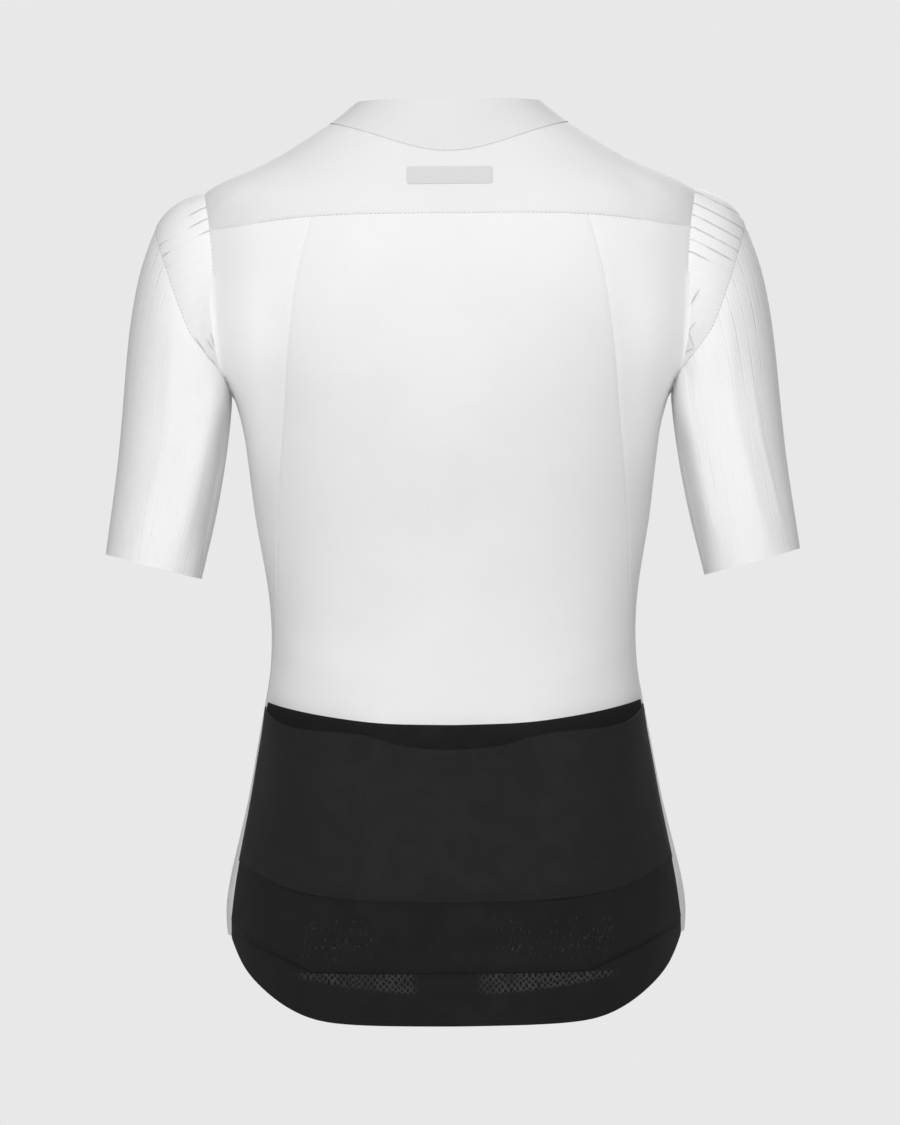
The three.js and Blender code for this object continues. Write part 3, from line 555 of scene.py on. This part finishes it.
def keepOuterSheet(piece):
    editAll(piece)
    bpy.ops.mesh.select_mode(type="EDGE")
    bpy.ops.mesh.remove_doubles(threshold=sheetCut["weld"])
    bpy.ops.mesh.select_all(action="DESELECT")
    bpy.ops.mesh.edges_select_sharp(sharpness=math.radians(sheetCut["sharp"]))
    bpy.ops.mesh.edge_split(type="EDGE")
    mesh = bmesh.from_edit_mesh(piece.data)
    groups = sorted(islands(mesh), key=lambda group: sum(face.calc_area() for face in group))
    spare = [face for group in groups[:-1] for face in group]
    bmesh.ops.delete(mesh, geom=spare, context="FACES")
    bmesh.update_edit_mesh(piece.data)
    bpy.ops.mesh.select_mode(type="FACE")
    bpy.ops.mesh.select_all(action="SELECT")
    bpy.ops.mesh.remove_doubles(threshold=sheetCut["weld"])
    turns = math.radians(sheetCut["faceTurn"]), math.radians(sheetCut["shapeTurn"])
    bpy.ops.mesh.tris_convert_to_quads(face_threshold=turns[0], shape_threshold=turns[1])
    bpy.ops.object.mode_set(mode="OBJECT")
    counts = [len(face.vertices) for face in piece.data.polygons]
    print(piece.name, "sheet:", counts.count(4), "quads,", counts.count(3), "triangles")


def openMesh(piece):
    mesh = bmesh.new()
    mesh.from_mesh(piece.data)
    return mesh


def closeMesh(mesh, piece):
    mesh.to_mesh(piece.data)
    mesh.free()


def unwrap(piece, cutAlong=None):
    editAll(piece)
    mesh = bmesh.from_edit_mesh(piece.data)
    for edge in mesh.edges:
        edge.seam = bool(cutAlong and all(cutAlong(vertex.co) for vertex in edge.verts))
    bmesh.update_edit_mesh(piece.data)
    bpy.ops.uv.unwrap(method="ANGLE_BASED", margin=0.0)
    bpy.ops.object.mode_set(mode="OBJECT")
    # the map is turned so that V runs up the piece, and scaled to metres
    mesh = openMesh(piece)
    layer = mesh.loops.layers.uv.verify()
    loops = [loop for face in mesh.faces for loop in face.loops]
    up, flat, real = Vector((0, 0)), 0.0, 0.0
    for loop in loops:
        after = loop.link_loop_next
        span = after[layer].uv - loop[layer].uv
        up += span * (after.vert.co.z - loop.vert.co.z)
        flat += span.length
        real += (after.vert.co - loop.vert.co).length
    turn = math.pi / 2 - math.atan2(up.y, up.x)
    c, s, scale = math.cos(turn), math.sin(turn), real / flat
    for loop in loops:
        x, y = loop[layer].uv
        loop[layer].uv = ((c * x - s * y) * scale, (s * x + c * y) * scale)
    spots = [loop[layer].uv.copy() for loop in loops]
    low = Vector((min(spot.x for spot in spots), min(spot.y for spot in spots)))
    high = Vector((max(spot.x for spot in spots), max(spot.y for spot in spots)))
    area = sum(face.calc_area() for face in mesh.faces)
    for loop in loops:
        loop[layer].uv -= low
    closeMesh(mesh, piece)
    size = high - low
    print(piece.name, "cut: %.3f x %.3f m, %.4f m2" % (size.x, size.y, area))
    return size, area


# rings of a sleeve, in mm: share of its length, outer end, inner end, reach back and front
sleeveRings = [
    (0, 180.6, -54, 162, -203, 57, -49),
    (0.08, 200, -60.5, 162.1, -207, 59, -51),
    (0.16, 214, -73.5, 162.4, -213, 60, -53),
    (0.26, 225, -97, 163.3, -222, 60, -54),
    (0.38, 233, -126, 165, -236, 57.5, -54),
    (0.52, 239, -165, 167.8, -256, 53.5, -52),
    (0.66, 242.5, -205, 171.5, -277, 50, -50),
    (0.8, 246.5, -249, 176, -299, 47, -49),
    (0.9, 251.5, -284, 181, -319, 45, -48.5),
    (1, 257, -321, 186, -340, 43.5, -48),
]


def ringAt(share):
    for low, high in zip(sleeveRings, sleeveRings[1:]):
        if share <= high[0]:
            t = (share - low[0]) / (high[0] - low[0])
            return [a + (b - a) * t for a, b in zip(low, high)]
    return list(sleeveRings[-1])


ringSteps = [ringAt(i / 120) for i in range(121)]


def sleevePlace(spot):
    # how far round the sleeve and how far down it a point lies
    x, y, z = abs(spot.x) * 1000, spot.y * 1000, spot.z * 1000
    best = None
    for share, outX, outZ, inX, inZ, back, front in ringSteps:
        midX, midZ = (outX + inX) / 2, (outZ + inZ) / 2
        dirX, dirZ = (outX - inX) / 2, (outZ - inZ) / 2
        size = math.hypot(dirX, dirZ)
        off = abs((x - midX) * dirZ - (z - midZ) * dirX) / size
        if best is None or off < best[0]:
            c = ((x - midX) * dirX + (z - midZ) * dirZ) / size ** 2
            best = (off, math.degrees(math.atan2(y / (back if y > 0 else -front), c)), share)
    return best[1], best[2]


ribs = {"sleeveCount": 30, "pitch": 0.0086, "slope": math.radians(28), "seamTurn": 3.2, "inside": (0, 0.13)}


def evenRibs(piece):
    # the ribs are drawn by the material, so each ring is smoothed along itself
    mesh = openMesh(piece)
    shares = {vertex: sleevePlace(vertex.co)[1] for vertex in mesh.verts}
    moved = {}
    for vertex in mesh.verts:
        near = [edge.other_vert(vertex) for edge in vertex.link_edges]
        if vertex.is_boundary or len(near) < 2:
            continue
        first, second = sorted(near, key=lambda other: abs(shares[other] - shares[vertex]))[:2]
        moved[vertex] = vertex.co * 0.5 + (first.co + second.co) * 0.25
    for vertex, spot in moved.items():
        vertex.co = spot
    closeMesh(mesh, piece)


def mapRibs(piece, node):
    kind = node.rsplit("_", 1)[0]
    mesh = openMesh(piece)
    layer = mesh.loops.layers.uv.new("ribs")
    places = {vertex: sleevePlace(vertex.co) for vertex in mesh.verts}
    for face in mesh.faces:
        first = places[face.loops[0].vert][0]
        for loop in face.loops:
            turn, share = places[loop.vert]
            turn += 360 * round((first - turn) / 360)
            spot = loop.vert.co
            if kind == "sleeve":
                loop[layer].uv = (turn * ribs["sleeveCount"] / 360, share)
            else:
                level = abs(spot.x) * math.sin(ribs["slope"]) + spot.z * math.cos(ribs["slope"])
                loop[layer].uv = (level / ribs["pitch"], share)
    closeMesh(mesh, piece)


# soft folds and creases on the back: width and height in metres, and a path by places in the photograph
folds = {
    "sleeve_left": [
        (0.0085, 0.0028, [(214, 368), (210, 420), (194, 480), (174, 566)]),
        (0.005, 0.0009, [(176, 325), (170, 380), (168, 432), (150, 495), (140, 545)]),
        (0.0018, 0.0004, [(160, 512), (150, 545), (144, 560)]),
        (0.012, -0.0034, [(232, 392), (222, 470), (199, 568)]),
        (0.0024, -0.0006, [(200, 345), (206, 372), (208, 410)]),
    ],
    "sleeve_right": [
        (0.0065, 0.0019, [(686, 376), (702, 470), (722, 568)]),
        (0.0045, 0.0009, [(731, 290), (735, 400), (752, 480), (772, 553)]),
        (0.0022, 0.0005, [(750, 350), (764, 440), (788, 540)]),
        (0.0022, -0.0006, [(690, 362), (694, 400), (704, 450)]),
        (0.009, -0.0024, [(680, 420), (691, 490), (708, 570)]),
    ],
    "shoulder_insert_left": [
        (0.003, -0.001, [(186, 318), (200, 345)]),
        (0.0026, -0.0008, [(204, 296), (207, 320), (209, 336), (213, 352)]),
    ],
    "shoulder_insert_right": [
        (0.003, -0.001, [(702, 296), (694, 310), (688, 324)]),
        (0.003, 0.0009, [(690, 350), (699, 334), (706, 318)]),
    ],
    "back_centre": [
        (0.01, 0.0006, [(268, 640), (330, 668), (400, 676)]),
        (0.01, 0.0006, [(640, 640), (580, 668), (520, 676)]),
    ],
    "pocket_panel": [
        (0.004, -0.0009, [(362, 742), (358, 800), (352, 880)]),
        (0.004, -0.0009, [(532, 742), (538, 800), (546, 880)]),
        (0.007, 0.0008, [(268, 870), (330, 888), (450, 892), (560, 886), (630, 868)]),
    ],
    "lower_back": [
        (0.0045, 0.0012, [(300, 960), (380, 968), (450, 969), (530, 968), (610, 960)]),
        (0.003, -0.0009, [(262, 868), (290, 889), (330, 901), (390, 905), (517, 905), (593, 888), (640, 868)]),
    ],
}
# a fold fades to its ends, towards a sewn rim and where the cloth turns away from behind
foldFade = {"end": 4, "endShare": 0.15, "calm": 0.0026, "facing": 0.02, "turn": 4}


def sewnRim(mesh, node, spec):
    # the rim's vertices that lie close to another panel
    others = [tree for name, tree in trees.items() if name != node]
    near = spec.get("near", seam["near"])
    return [
        vertex for vertex in mesh.verts
        if vertex.is_boundary and min((tree.find_nearest(vertex.co)[3] or 1) for tree in others) <= near
    ]


def placesOf(vertices):
    places = KDTree(len(vertices))
    for i, vertex in enumerate(vertices):
        places.insert(vertex.co, i)
    places.balance()
    return places


def pressFolds(piece, node, spec):
    paths = [(width, height, [fromPhoto(*spot) for spot in path]) for width, height, path in folds[node]]
    mesh = openMesh(piece)
    sewn = placesOf(sewnRim(mesh, node, spec))
    for vertex, normal in [(vertex, vertex.normal.copy()) for vertex in mesh.verts]:
        if normal.y < foldFade["facing"]:
            continue
        spot = Vector((vertex.co.x, vertex.co.z))
        lift = 0.0
        for width, height, path in paths:
            nearest, share = 1.0, 0.0
            for i, (a, b) in enumerate(zip(path, path[1:])):
                along = b - a
                t = max(0.0, min(1.0, (spot - a).dot(along) / along.length_squared))
                away = (spot - a - along * t).length
                if away < nearest:
                    nearest, share = away, (i + t) / (len(path) - 1)
            fade = min(1.0, foldFade["end"] * min(share, 1 - share) + foldFade["endShare"])
            lift += height * fade * math.exp(-(nearest / width) ** 2)
        calm = min(1.0, sewn.find(vertex.co)[2] / foldFade["calm"])
        vertex.co += normal * lift * min(1.0, normal.y * foldFade["turn"]) * calm
    closeMesh(mesh, piece)


def bothSides(name, under=(), **spec):
    return {f"{name}_{side}": dict(spec, under=[f"{other}_{side}" for other in under]) for side in ("left", "right")}


clothPieces = {
    "yoke": {"slot": "white_knit", "look": "yoke", "levels": 3},
    "back_centre": {"slot": "white_knit", "look": "back", "levels": 3},
    **bothSides("side_panel", slot="white_knit", look="side", levels=3, under=("sleeve", "shoulder_insert")),
    **bothSides("front", slot="white_knit", look="white", levels=2, under=("sleeve", "shoulder_insert")),
    "collar": {"slot": "white_knit", "look": "collar", "levels": 2, "flatDepth": 0.04},
    **bothSides("shoulder_insert", slot="ribbed_knit", look="striped", levels=3, reach=0.0014),
    **bothSides("sleeve", slot="ribbed_knit", look="ribbed", levels=2, reach=0.0009),
    "lower_back": {"slot": "dark_mesh", "look": "dark", "levels": 3},
    "tail_band": {"slot": "dark_mesh", "look": "dark", "levels": 3, "under": ["lower_back"]},
    "pocket_panel": {
        "slot": "black_knit", "look": "black", "levels": 3, "thickness": 0.0009,
        "near": 0.0026, "tuck": 0.00135, "tuckWidth": 0.007,
    },
    **bothSides("zip_tape", slot="zip_tape", look="tape", levels=1, thickness=0.0006),
}
seam = {
    "near": 0.0011, "reach": 0.00014, "sink": 0.0005, "secondSink": 0.25, "sharpCorner": 32, "thickness": 0.0012,
    "underReach": 0.0018, "underSink": 0.0009, "push": 0.0009, "armpit": -0.118, "hem": -0.3, "leastFill": 0.301,
}


def innerArmLine(side):
    # the seam of a sleeve runs along the inside of the arm
    def onLine(spot):
        turn, share = sleevePlace(spot)
        return spot.x * side > 0 and abs(abs(turn) - 180) < ribs["seamTurn"]
    return onLine


def treeOf(data):
    return BVHTree.FromPolygons(
        [vertex.co.copy() for vertex in data.vertices], [list(face.vertices) for face in data.polygons],
    )


trees = {node: treeOf(nodes[node].data) for node in clothPieces}
rims = {}


def keepCorners(piece):
    # a panel's corners stay sharp when it is subdivided
    mesh = openMesh(piece)
    sharpness = mesh.verts.layers.float.get("crease_vert") or mesh.verts.layers.float.new("crease_vert")
    for vertex in mesh.verts:
        beside = [edge.other_vert(vertex) for edge in vertex.link_edges if edge.is_boundary]
        if len(beside) == 2:
            first, second = (other.co - vertex.co for other in beside)
            if first.angle(-second) > math.radians(seam["sharpCorner"]):
                vertex[sharpness] = 1.0
    closeMesh(mesh, piece)


def inwardAt(vertex):
    centre = Vector((0, 0, 0))
    for face in vertex.link_faces:
        centre += face.calc_center_median() / len(vertex.link_faces)
    inward = centre - vertex.co
    return (inward - vertex.normal * inward.dot(vertex.normal)).normalized()


def dressEdges(piece, node, spec):
    # at a seam the cloth turns in a little and meets its neighbour, or runs in under it; an open hem stays as it is
    mesh = openMesh(piece)
    sewn = sewnRim(mesh, node, spec)
    above = [trees[name] for name in spec.get("under", ())]
    moves, second = {}, set()
    for vertex in sewn:
        reach, sink = spec.get("reach", seam["reach"]), seam["sink"]
        hits = [hit for hit in (tree.find_nearest(vertex.co) for tree in above) if hit[3] < seam["near"]]
        if hits:
            reach, sink = seam["underReach"], seam["underSink"]
        moves[vertex] = -inwardAt(vertex) * reach - vertex.normal * sink
        if hits and vertex.co.z < seam["armpit"] and vertex.co.z > seam["hem"]:
            across = min(hits, key=lambda hit: hit[3])[0] - vertex.co
            moves[vertex] = across + across.normalized() * seam["push"]
        beside = [edge.other_vert(vertex) for edge in vertex.link_edges]
        second.update(other for other in beside if not other.is_boundary)
    for vertex in second:
        moves[vertex] = -vertex.normal * seam["sink"] * seam["secondSink"]
    if "tuck" in spec:
        # a patch's edges lie close on the cloth under them
        places = placesOf(sewn)
        for vertex in mesh.verts:
            away = places.find(vertex.co)[2] / spec["tuckWidth"]
            moves[vertex] = moves.get(vertex, Vector()) - vertex.normal * spec["tuck"] * math.exp(-away ** 2)
    for vertex, move in moves.items():
        vertex.co += move
    mesh.normal_update()
    rims[node] = rimLoops(mesh)
    closeMesh(mesh, piece)


def rimLoops(mesh):
    # the rim of a sheet as rings of places, each with the direction that runs in over the cloth
    left = dict.fromkeys(edge for edge in mesh.edges if edge.is_boundary)
    loops = []
    while left:
        edge = left.popitem()[0]
        start, vertex = edge.verts
        ring = [start, vertex]
        while vertex is not start:
            edge = next((near for near in vertex.link_edges if near in left), None)
            if edge is None:
                break
            left.pop(edge)
            vertex = edge.other_vert(vertex)
            ring.append(vertex)
        loops.append([(vertex.co.copy(), inwardAt(vertex)) for vertex in ring])
    return loops


# the middle pocket's mouth hangs a little open
mouth = {"middle": 0.0025, "half": 0.057, "drop": 0.005, "low": -0.502, "high": -0.468, "lean": 0.1}


def hangMouth(piece):
    for vertex in piece.data.vertices:
        aside = (vertex.co.x - mouth["middle"]) / mouth["half"]
        share = min(1, max(0, (vertex.co.z - mouth["low"]) / (mouth["high"] - mouth["low"])))
        drop = mouth["drop"] * max(0, 1 - aside * aside) * share
        vertex.co.z -= drop
        vertex.co.y += drop * mouth["lean"]


def makeCloth(node, spec, material):
    piece = copyNode(node, node + "_cloth")
    keepOuterSheet(piece)
    cut = None
    if node.startswith("sleeve"):
        cut = innerArmLine(1 if node.endswith("left") else -1)
    size, area = unwrap(piece, cut)
    if spec["look"] in ("ribbed", "striped"):
        evenRibs(piece)
        mapRibs(piece, node)
    keepCorners(piece)
    applyModifier(
        piece, "SUBSURF", levels=spec["levels"], render_levels=spec["levels"],
        boundary_smooth="PRESERVE_CORNERS", uv_smooth="PRESERVE_BOUNDARIES",
    )
    if node in folds:
        pressFolds(piece, node, spec)
    if node == "pocket_panel":
        hangMouth(piece)
    dressEdges(piece, node, spec)
    outer = treeOf(piece.data)
    thickness = spec.get("thickness", seam["thickness"])
    applyModifier(piece, "SOLIDIFY", thickness=thickness, offset=-1, use_even_offset=False)
    piece.data.materials.append(material)
    smoothBy(piece, sheetCut["rimSmooth"])
    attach(piece, "jersey")
    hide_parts(node)
    if "flatDepth" in spec:
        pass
    else:
        area = max(area, seam["leastFill"] * size.x * size.y)
    return piece, outer


makeCamera()
makeStudio()
clothMaterials = {kind: clothMaterial(kind) for kind in knitLooks}
cloths, surfaces = {}, {}
for node, spec in clothPieces.items():
    cloths[node], surfaces[node] = makeCloth(node, spec, clothMaterials[spec["look"]])
print("cloth:", len(cloths), "pieces,", sum(len(piece.data.polygons) for piece in cloths.values()), "faces")


# a plain grey bar lies on the upper back
neckBar = {
    "halfWidth": 0.0315, "low": -0.0537, "high": -0.0406, "corner": 0.0022, "cornerSteps": 6, "lift": 0.0002,
    "thickness": 0.00025, "edge": 0.00008, "cutsAcross": 24, "cutsUp": 5, "dropFrom": 0.12, "sharp": 50,
}


def makeNeckBar(material):
    bar = addShape("neck_bar", bpy.ops.mesh.primitive_plane_add, size=1)
    low, width, height = neckBar["low"], 2 * neckBar["halfWidth"], neckBar["high"] - neckBar["low"]
    for vertex in bar.data.vertices:
        vertex.co = Vector((-vertex.co.x * width, neckBar["dropFrom"], vertex.co.y * height + low + height / 2))
    across, up = neckBar["cutsAcross"], neckBar["cutsUp"]
    cuts = [((-width / 2 + width * i / across, 0, 0), (1, 0, 0)) for i in range(1, across)]
    cuts += [((0, 0, low + height * i / up), (0, 0, 1)) for i in range(1, up)]
    editAll(bar)
    bpy.ops.mesh.bevel(affect="VERTICES", offset=neckBar["corner"], segments=neckBar["cornerSteps"])
    for place, direction in cuts:
        bpy.ops.mesh.select_all(action="SELECT")
        bpy.ops.mesh.bisect(plane_co=place, plane_no=direction)
    bpy.ops.object.mode_set(mode="OBJECT")
    for vertex in bar.data.vertices:
        hit, normal, _, _ = surfaces["yoke"].ray_cast(vertex.co, Vector((0, -1, 0)))
        vertex.co = hit + normal * neckBar["lift"] * (1 if normal.y > 0 else -1)
    editAll(bar)
    bpy.ops.mesh.normals_make_consistent(inside=False)
    bpy.ops.object.mode_set(mode="OBJECT")
    if sum(face.normal.y for face in bar.data.polygons) < 0:
        bar.data.flip_normals()
    applyModifier(bar, "SOLIDIFY", thickness=neckBar["thickness"], offset=1)
    sharp = math.radians(neckBar["sharp"])
    applyModifier(bar, "BEVEL", width=neckBar["edge"], segments=2, limit_method="ANGLE", angle_limit=sharp)
    bar.data.materials.append(material)
    smoothBy(bar, 40)
    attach(bar, "jersey")
    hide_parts("neck_label")
    print("neck bar:", len(bar.data.polygons), "faces")


def stamp(mesh, one, place):
    before = len(mesh.verts)
    mesh.from_mesh(one.data)
    mesh.verts.ensure_lookup_table()
    bmesh.ops.transform(mesh, matrix=place, verts=mesh.verts[before:])


def pieceFrom(mesh, name, material):
    piece = addObject(name, bpy.data.meshes.new(name))
    closeMesh(mesh, piece)
    piece.data.materials.append(material)
    activate(piece)
    return piece


stitch = {"length": 0.0024, "pitch": 0.0031, "width": 0.00042, "height": 0.0003, "raise": 0.15, "reach": 0.012}


def makeStitch():
    one = addShape("stitch", bpy.ops.mesh.primitive_ico_sphere_add, subdivisions=1, radius=0.5)
    one.data.transform(Matrix.Diagonal((stitch["length"], stitch["width"], stitch["height"], 1)))
    return one


def evenly(points, pitch):
    placed, carried = [], 0.0
    for a, b in zip(points, points[1:]):
        span = (b - a).length
        while carried < span:
            placed.append((a.lerp(b, carried / span), (b - a).normalized()))
            carried += pitch
        carried -= span
    return placed


def rimRuns(node, keep, inset):
    # stretches of a piece's rim that keep() picks, moved in over the cloth
    runs = []
    for loop in rims[node]:
        flags = [keep(spot) for spot, inward in loop]
        if all(flags):
            runs.append([spot + inward * inset for spot, inward in loop])
            continue
        start = flags.index(False)
        run = []
        for i in range(len(loop) + 1):
            spot, inward = loop[(start + i) % len(loop)]
            if flags[(start + i) % len(loop)]:
                run.append(spot + inward * inset)
            elif run:
                runs.append(run)
                run = []
    return [run for run in runs if len(run) > 2]


def sewRow(mesh, one, points, tree, pitch=None, across=False):
    for spot, along in evenly(points, pitch or stitch["pitch"]):
        hit, normal, _, away = tree.find_nearest(spot)
        if hit is None or away > stitch["reach"]:
            continue
        side = normal.cross(along)
        if side.length < 1e-6:
            continue
        side.normalize()
        along = side.cross(normal)
        turned = Matrix((side, -along, normal) if across else (along, side, normal)).transposed().to_4x4()
        turned.translation = hit + normal * stitch["height"] * stitch["raise"]
        stamp(mesh, one, turned)


def lowArmhole(spot):
    return abs(spot.x) > 0.15 and abs(sleevePlace(spot)[1]) < 0.03 and spot.z > -0.206


def isNeck(spot):
    return abs(spot.x) < 0.092 and spot.z > -0.075 and (spot.y < 0.066 or spot.z > -0.05) and spot.y > -0.06


def rowsOnBoth(name, inset, keep):
    return [(f"{name}_{side}", inset, keep) for side in ("left", "right")]


# each row of stitches: the piece, how far in from its rim, and which part of the rim it follows
sewing = {
    "white": {"color": 0.84, "rough": 0.75, "slot": "white_knit", "rows": [
        ("yoke", 0.0017, lambda spot: spot.y > 0.03 and spot.z < -0.068 and abs(spot.x) < 0.168),
        ("yoke", 0.0017, isNeck),
        ("yoke", 0.0014, lambda spot: abs(spot.x) > 0.164),
        *rowsOnBoth(
            "side_panel", 0.0015, lambda spot: spot.y > 0.03 and -0.43 < spot.z < -0.078 and abs(spot.x) < 0.1365,
        ),
        *rowsOnBoth("side_panel", 0.0014, lowArmhole),
        *rowsOnBoth("front", 0.0014, lowArmhole),
        *rowsOnBoth("sleeve", 0.0014, lambda spot: spot.z > -0.232 and sleevePlace(spot)[1] < 0.4),
        *rowsOnBoth("front", 0.0022, lambda spot: abs(spot.x) < 0.006),
        *rowsOnBoth("front", 0.006, lambda spot: spot.z < -0.585),
        *rowsOnBoth("side_panel", 0.006, lambda spot: spot.z < -0.599),
        ("collar", 0.005, lambda spot: spot.z > -0.07 + 0.081 * min(1, max(0, (spot.y + 0.07) / 0.06))),
    ]},
    # the grey rows are painted shade: grey thread stands in for the dark shade along the yoke's seam and round the
    # shoulder inserts
    "grey": {"color": 0.42, "rough": 0.75, "slot": "white_knit", "rows": [
        ("yoke", 0.0003, lambda spot: spot.y > 0.03 and spot.z < -0.068 and abs(spot.x) < 0.14),
        *rowsOnBoth("shoulder_insert", 0.0004, lambda spot: True),
    ]},
    "black": {"color": 0.0105, "rough": 0.85, "slot": "black_knit", "rows": [
        ("pocket_panel", 0.0075, lambda spot: spot.z > -0.4675 and abs(spot.x) < 0.128),
        ("pocket_panel", 0.0018, lambda spot: spot.z < -0.548),
        ("pocket_panel", 0.0018, lambda spot: -0.542 < spot.z < -0.44 and abs(spot.x) > 0.1375),
        ("tail_band", 0.0016, lambda spot: abs(spot.x) < 0.16 and spot.z > -0.6285),
        ("tail_band", 0.005, lambda spot: spot.z < -0.6285),
        ("lower_back", 0.0016, lambda spot: spot.z > -0.4495),
    ]},
}

# the pockets are parted by double rows down to their foot, each with a bar tack at its top
dividers = {
    "places": [((0.0603, -0.4585), (0.0712, -0.573)), ((-0.054, -0.4585), (-0.0665, -0.573))],
    "gap": 0.0016, "steps": 40, "tack": 0.0088, "tackRise": 0.0005, "tackSteps": 8, "tackPitch": 0.00055,
    "dropFrom": 0.2,
}


def droppedLine(top, foot, steps):
    # places on the pocket panel under a straight line seen from behind
    top, foot = (Vector((x, dividers["dropFrom"], z)) for x, z in (top, foot))
    spots = [top.lerp(foot, i / steps) for i in range(steps + 1)]
    hits = [surfaces["pocket_panel"].ray_cast(spot, Vector((0, -1, 0)))[0] for spot in spots]
    return [hit for hit in hits if hit]


def sewDividers(mesh, one):
    tree = surfaces["pocket_panel"]
    for (topX, topZ), (footX, footZ) in dividers["places"]:
        for shift in (-dividers["gap"] / 2, dividers["gap"] / 2):
            sewRow(mesh, one, droppedLine((topX + shift, topZ), (footX + shift, footZ), dividers["steps"]), tree)
        ends = (topX, topZ + dividers["tackRise"]), (topX, topZ - dividers["tack"])
        sewRow(mesh, one, droppedLine(*ends, dividers["tackSteps"]), tree, dividers["tackPitch"], True)


def makeSewing():
    one = makeStitch()
    for name, spec in sewing.items():
        mesh = bmesh.new()
        for node, inset, keep in spec["rows"]:
            for run in rimRuns(node, keep, inset):
                sewRow(mesh, one, run, surfaces[node])
        if name == "black":
            sewDividers(mesh, one)
        row = pieceFrom(mesh, name + "_stitching", plainMaterial(name + "_thread", spec["color"], spec["rough"]))
        bpy.ops.object.shade_smooth()
        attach(row, "jersey")
        print(row.name + ":", len(row.data.polygons) // len(one.data.polygons), "stitches")
    bpy.data.objects.remove(one)


# each tooth is a small block, set proud of the tape and by turns to one side and the other
teeth = {
    "pitch": 0.0014, "width": 0.0021, "height": 0.0009, "share": 0.72, "bevel": 0.00025, "proud": 0.0003,
    "offset": 0.0006, "top": -0.065, "foot": -0.5895, "dropFrom": -0.3,
}


def makeTeeth(material):
    one = addShape("zip_tooth", bpy.ops.mesh.primitive_cube_add, size=1)
    one.data.transform(Matrix.Diagonal((teeth["width"], teeth["height"], teeth["pitch"] * teeth["share"], 1)))
    applyModifier(one, "BEVEL", width=teeth["bevel"], segments=2)
    tree = treeOf(nodes["zip_chain"].data)
    mesh = bmesh.new()
    count = int((teeth["top"] - teeth["foot"]) / (teeth["pitch"] / 2))
    right = Vector((1, 0, 0))
    for i in range(count):
        z = teeth["top"] - i * teeth["pitch"] / 2
        hit, normal, _, _ = tree.ray_cast(Vector((0, teeth["dropFrom"], z)), Vector((0, 1, 0)))
        if hit is None:
            continue
        normal = Vector((0, normal.y, normal.z)).normalized()
        turned = Matrix((right, -normal, -right.cross(normal))).transposed().to_4x4()
        turned.translation = hit + normal * (teeth["proud"] - teeth["height"] / 2)
        turned.translation += right * teeth["offset"] * (1 if i % 2 else -1)
        stamp(mesh, one, turned)
    bmesh.ops.recalc_face_normals(mesh, faces=mesh.faces)
    row = pieceFrom(mesh, "zip_teeth", material)
    smoothBy(row, 40)
    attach(row, "jersey")
    bpy.data.objects.remove(one)
    print("zip teeth:", count)


makeNeckBar(plainMaterial("grey_transfer", 0.61, 0.35))
makeSewing()
plastic = plainMaterial("zip_plastic", 0.75, 0.45)
makeTeeth(plastic)
metal = plainMaterial("zip_metal", 0.62, 0.35, 0.7)
for node, material in {"zip_chain": plastic, "zip_slider": metal, "zip_pull": metal}.items():
    nodes[node].data.materials.clear()
    nodes[node].data.materials.append(material)
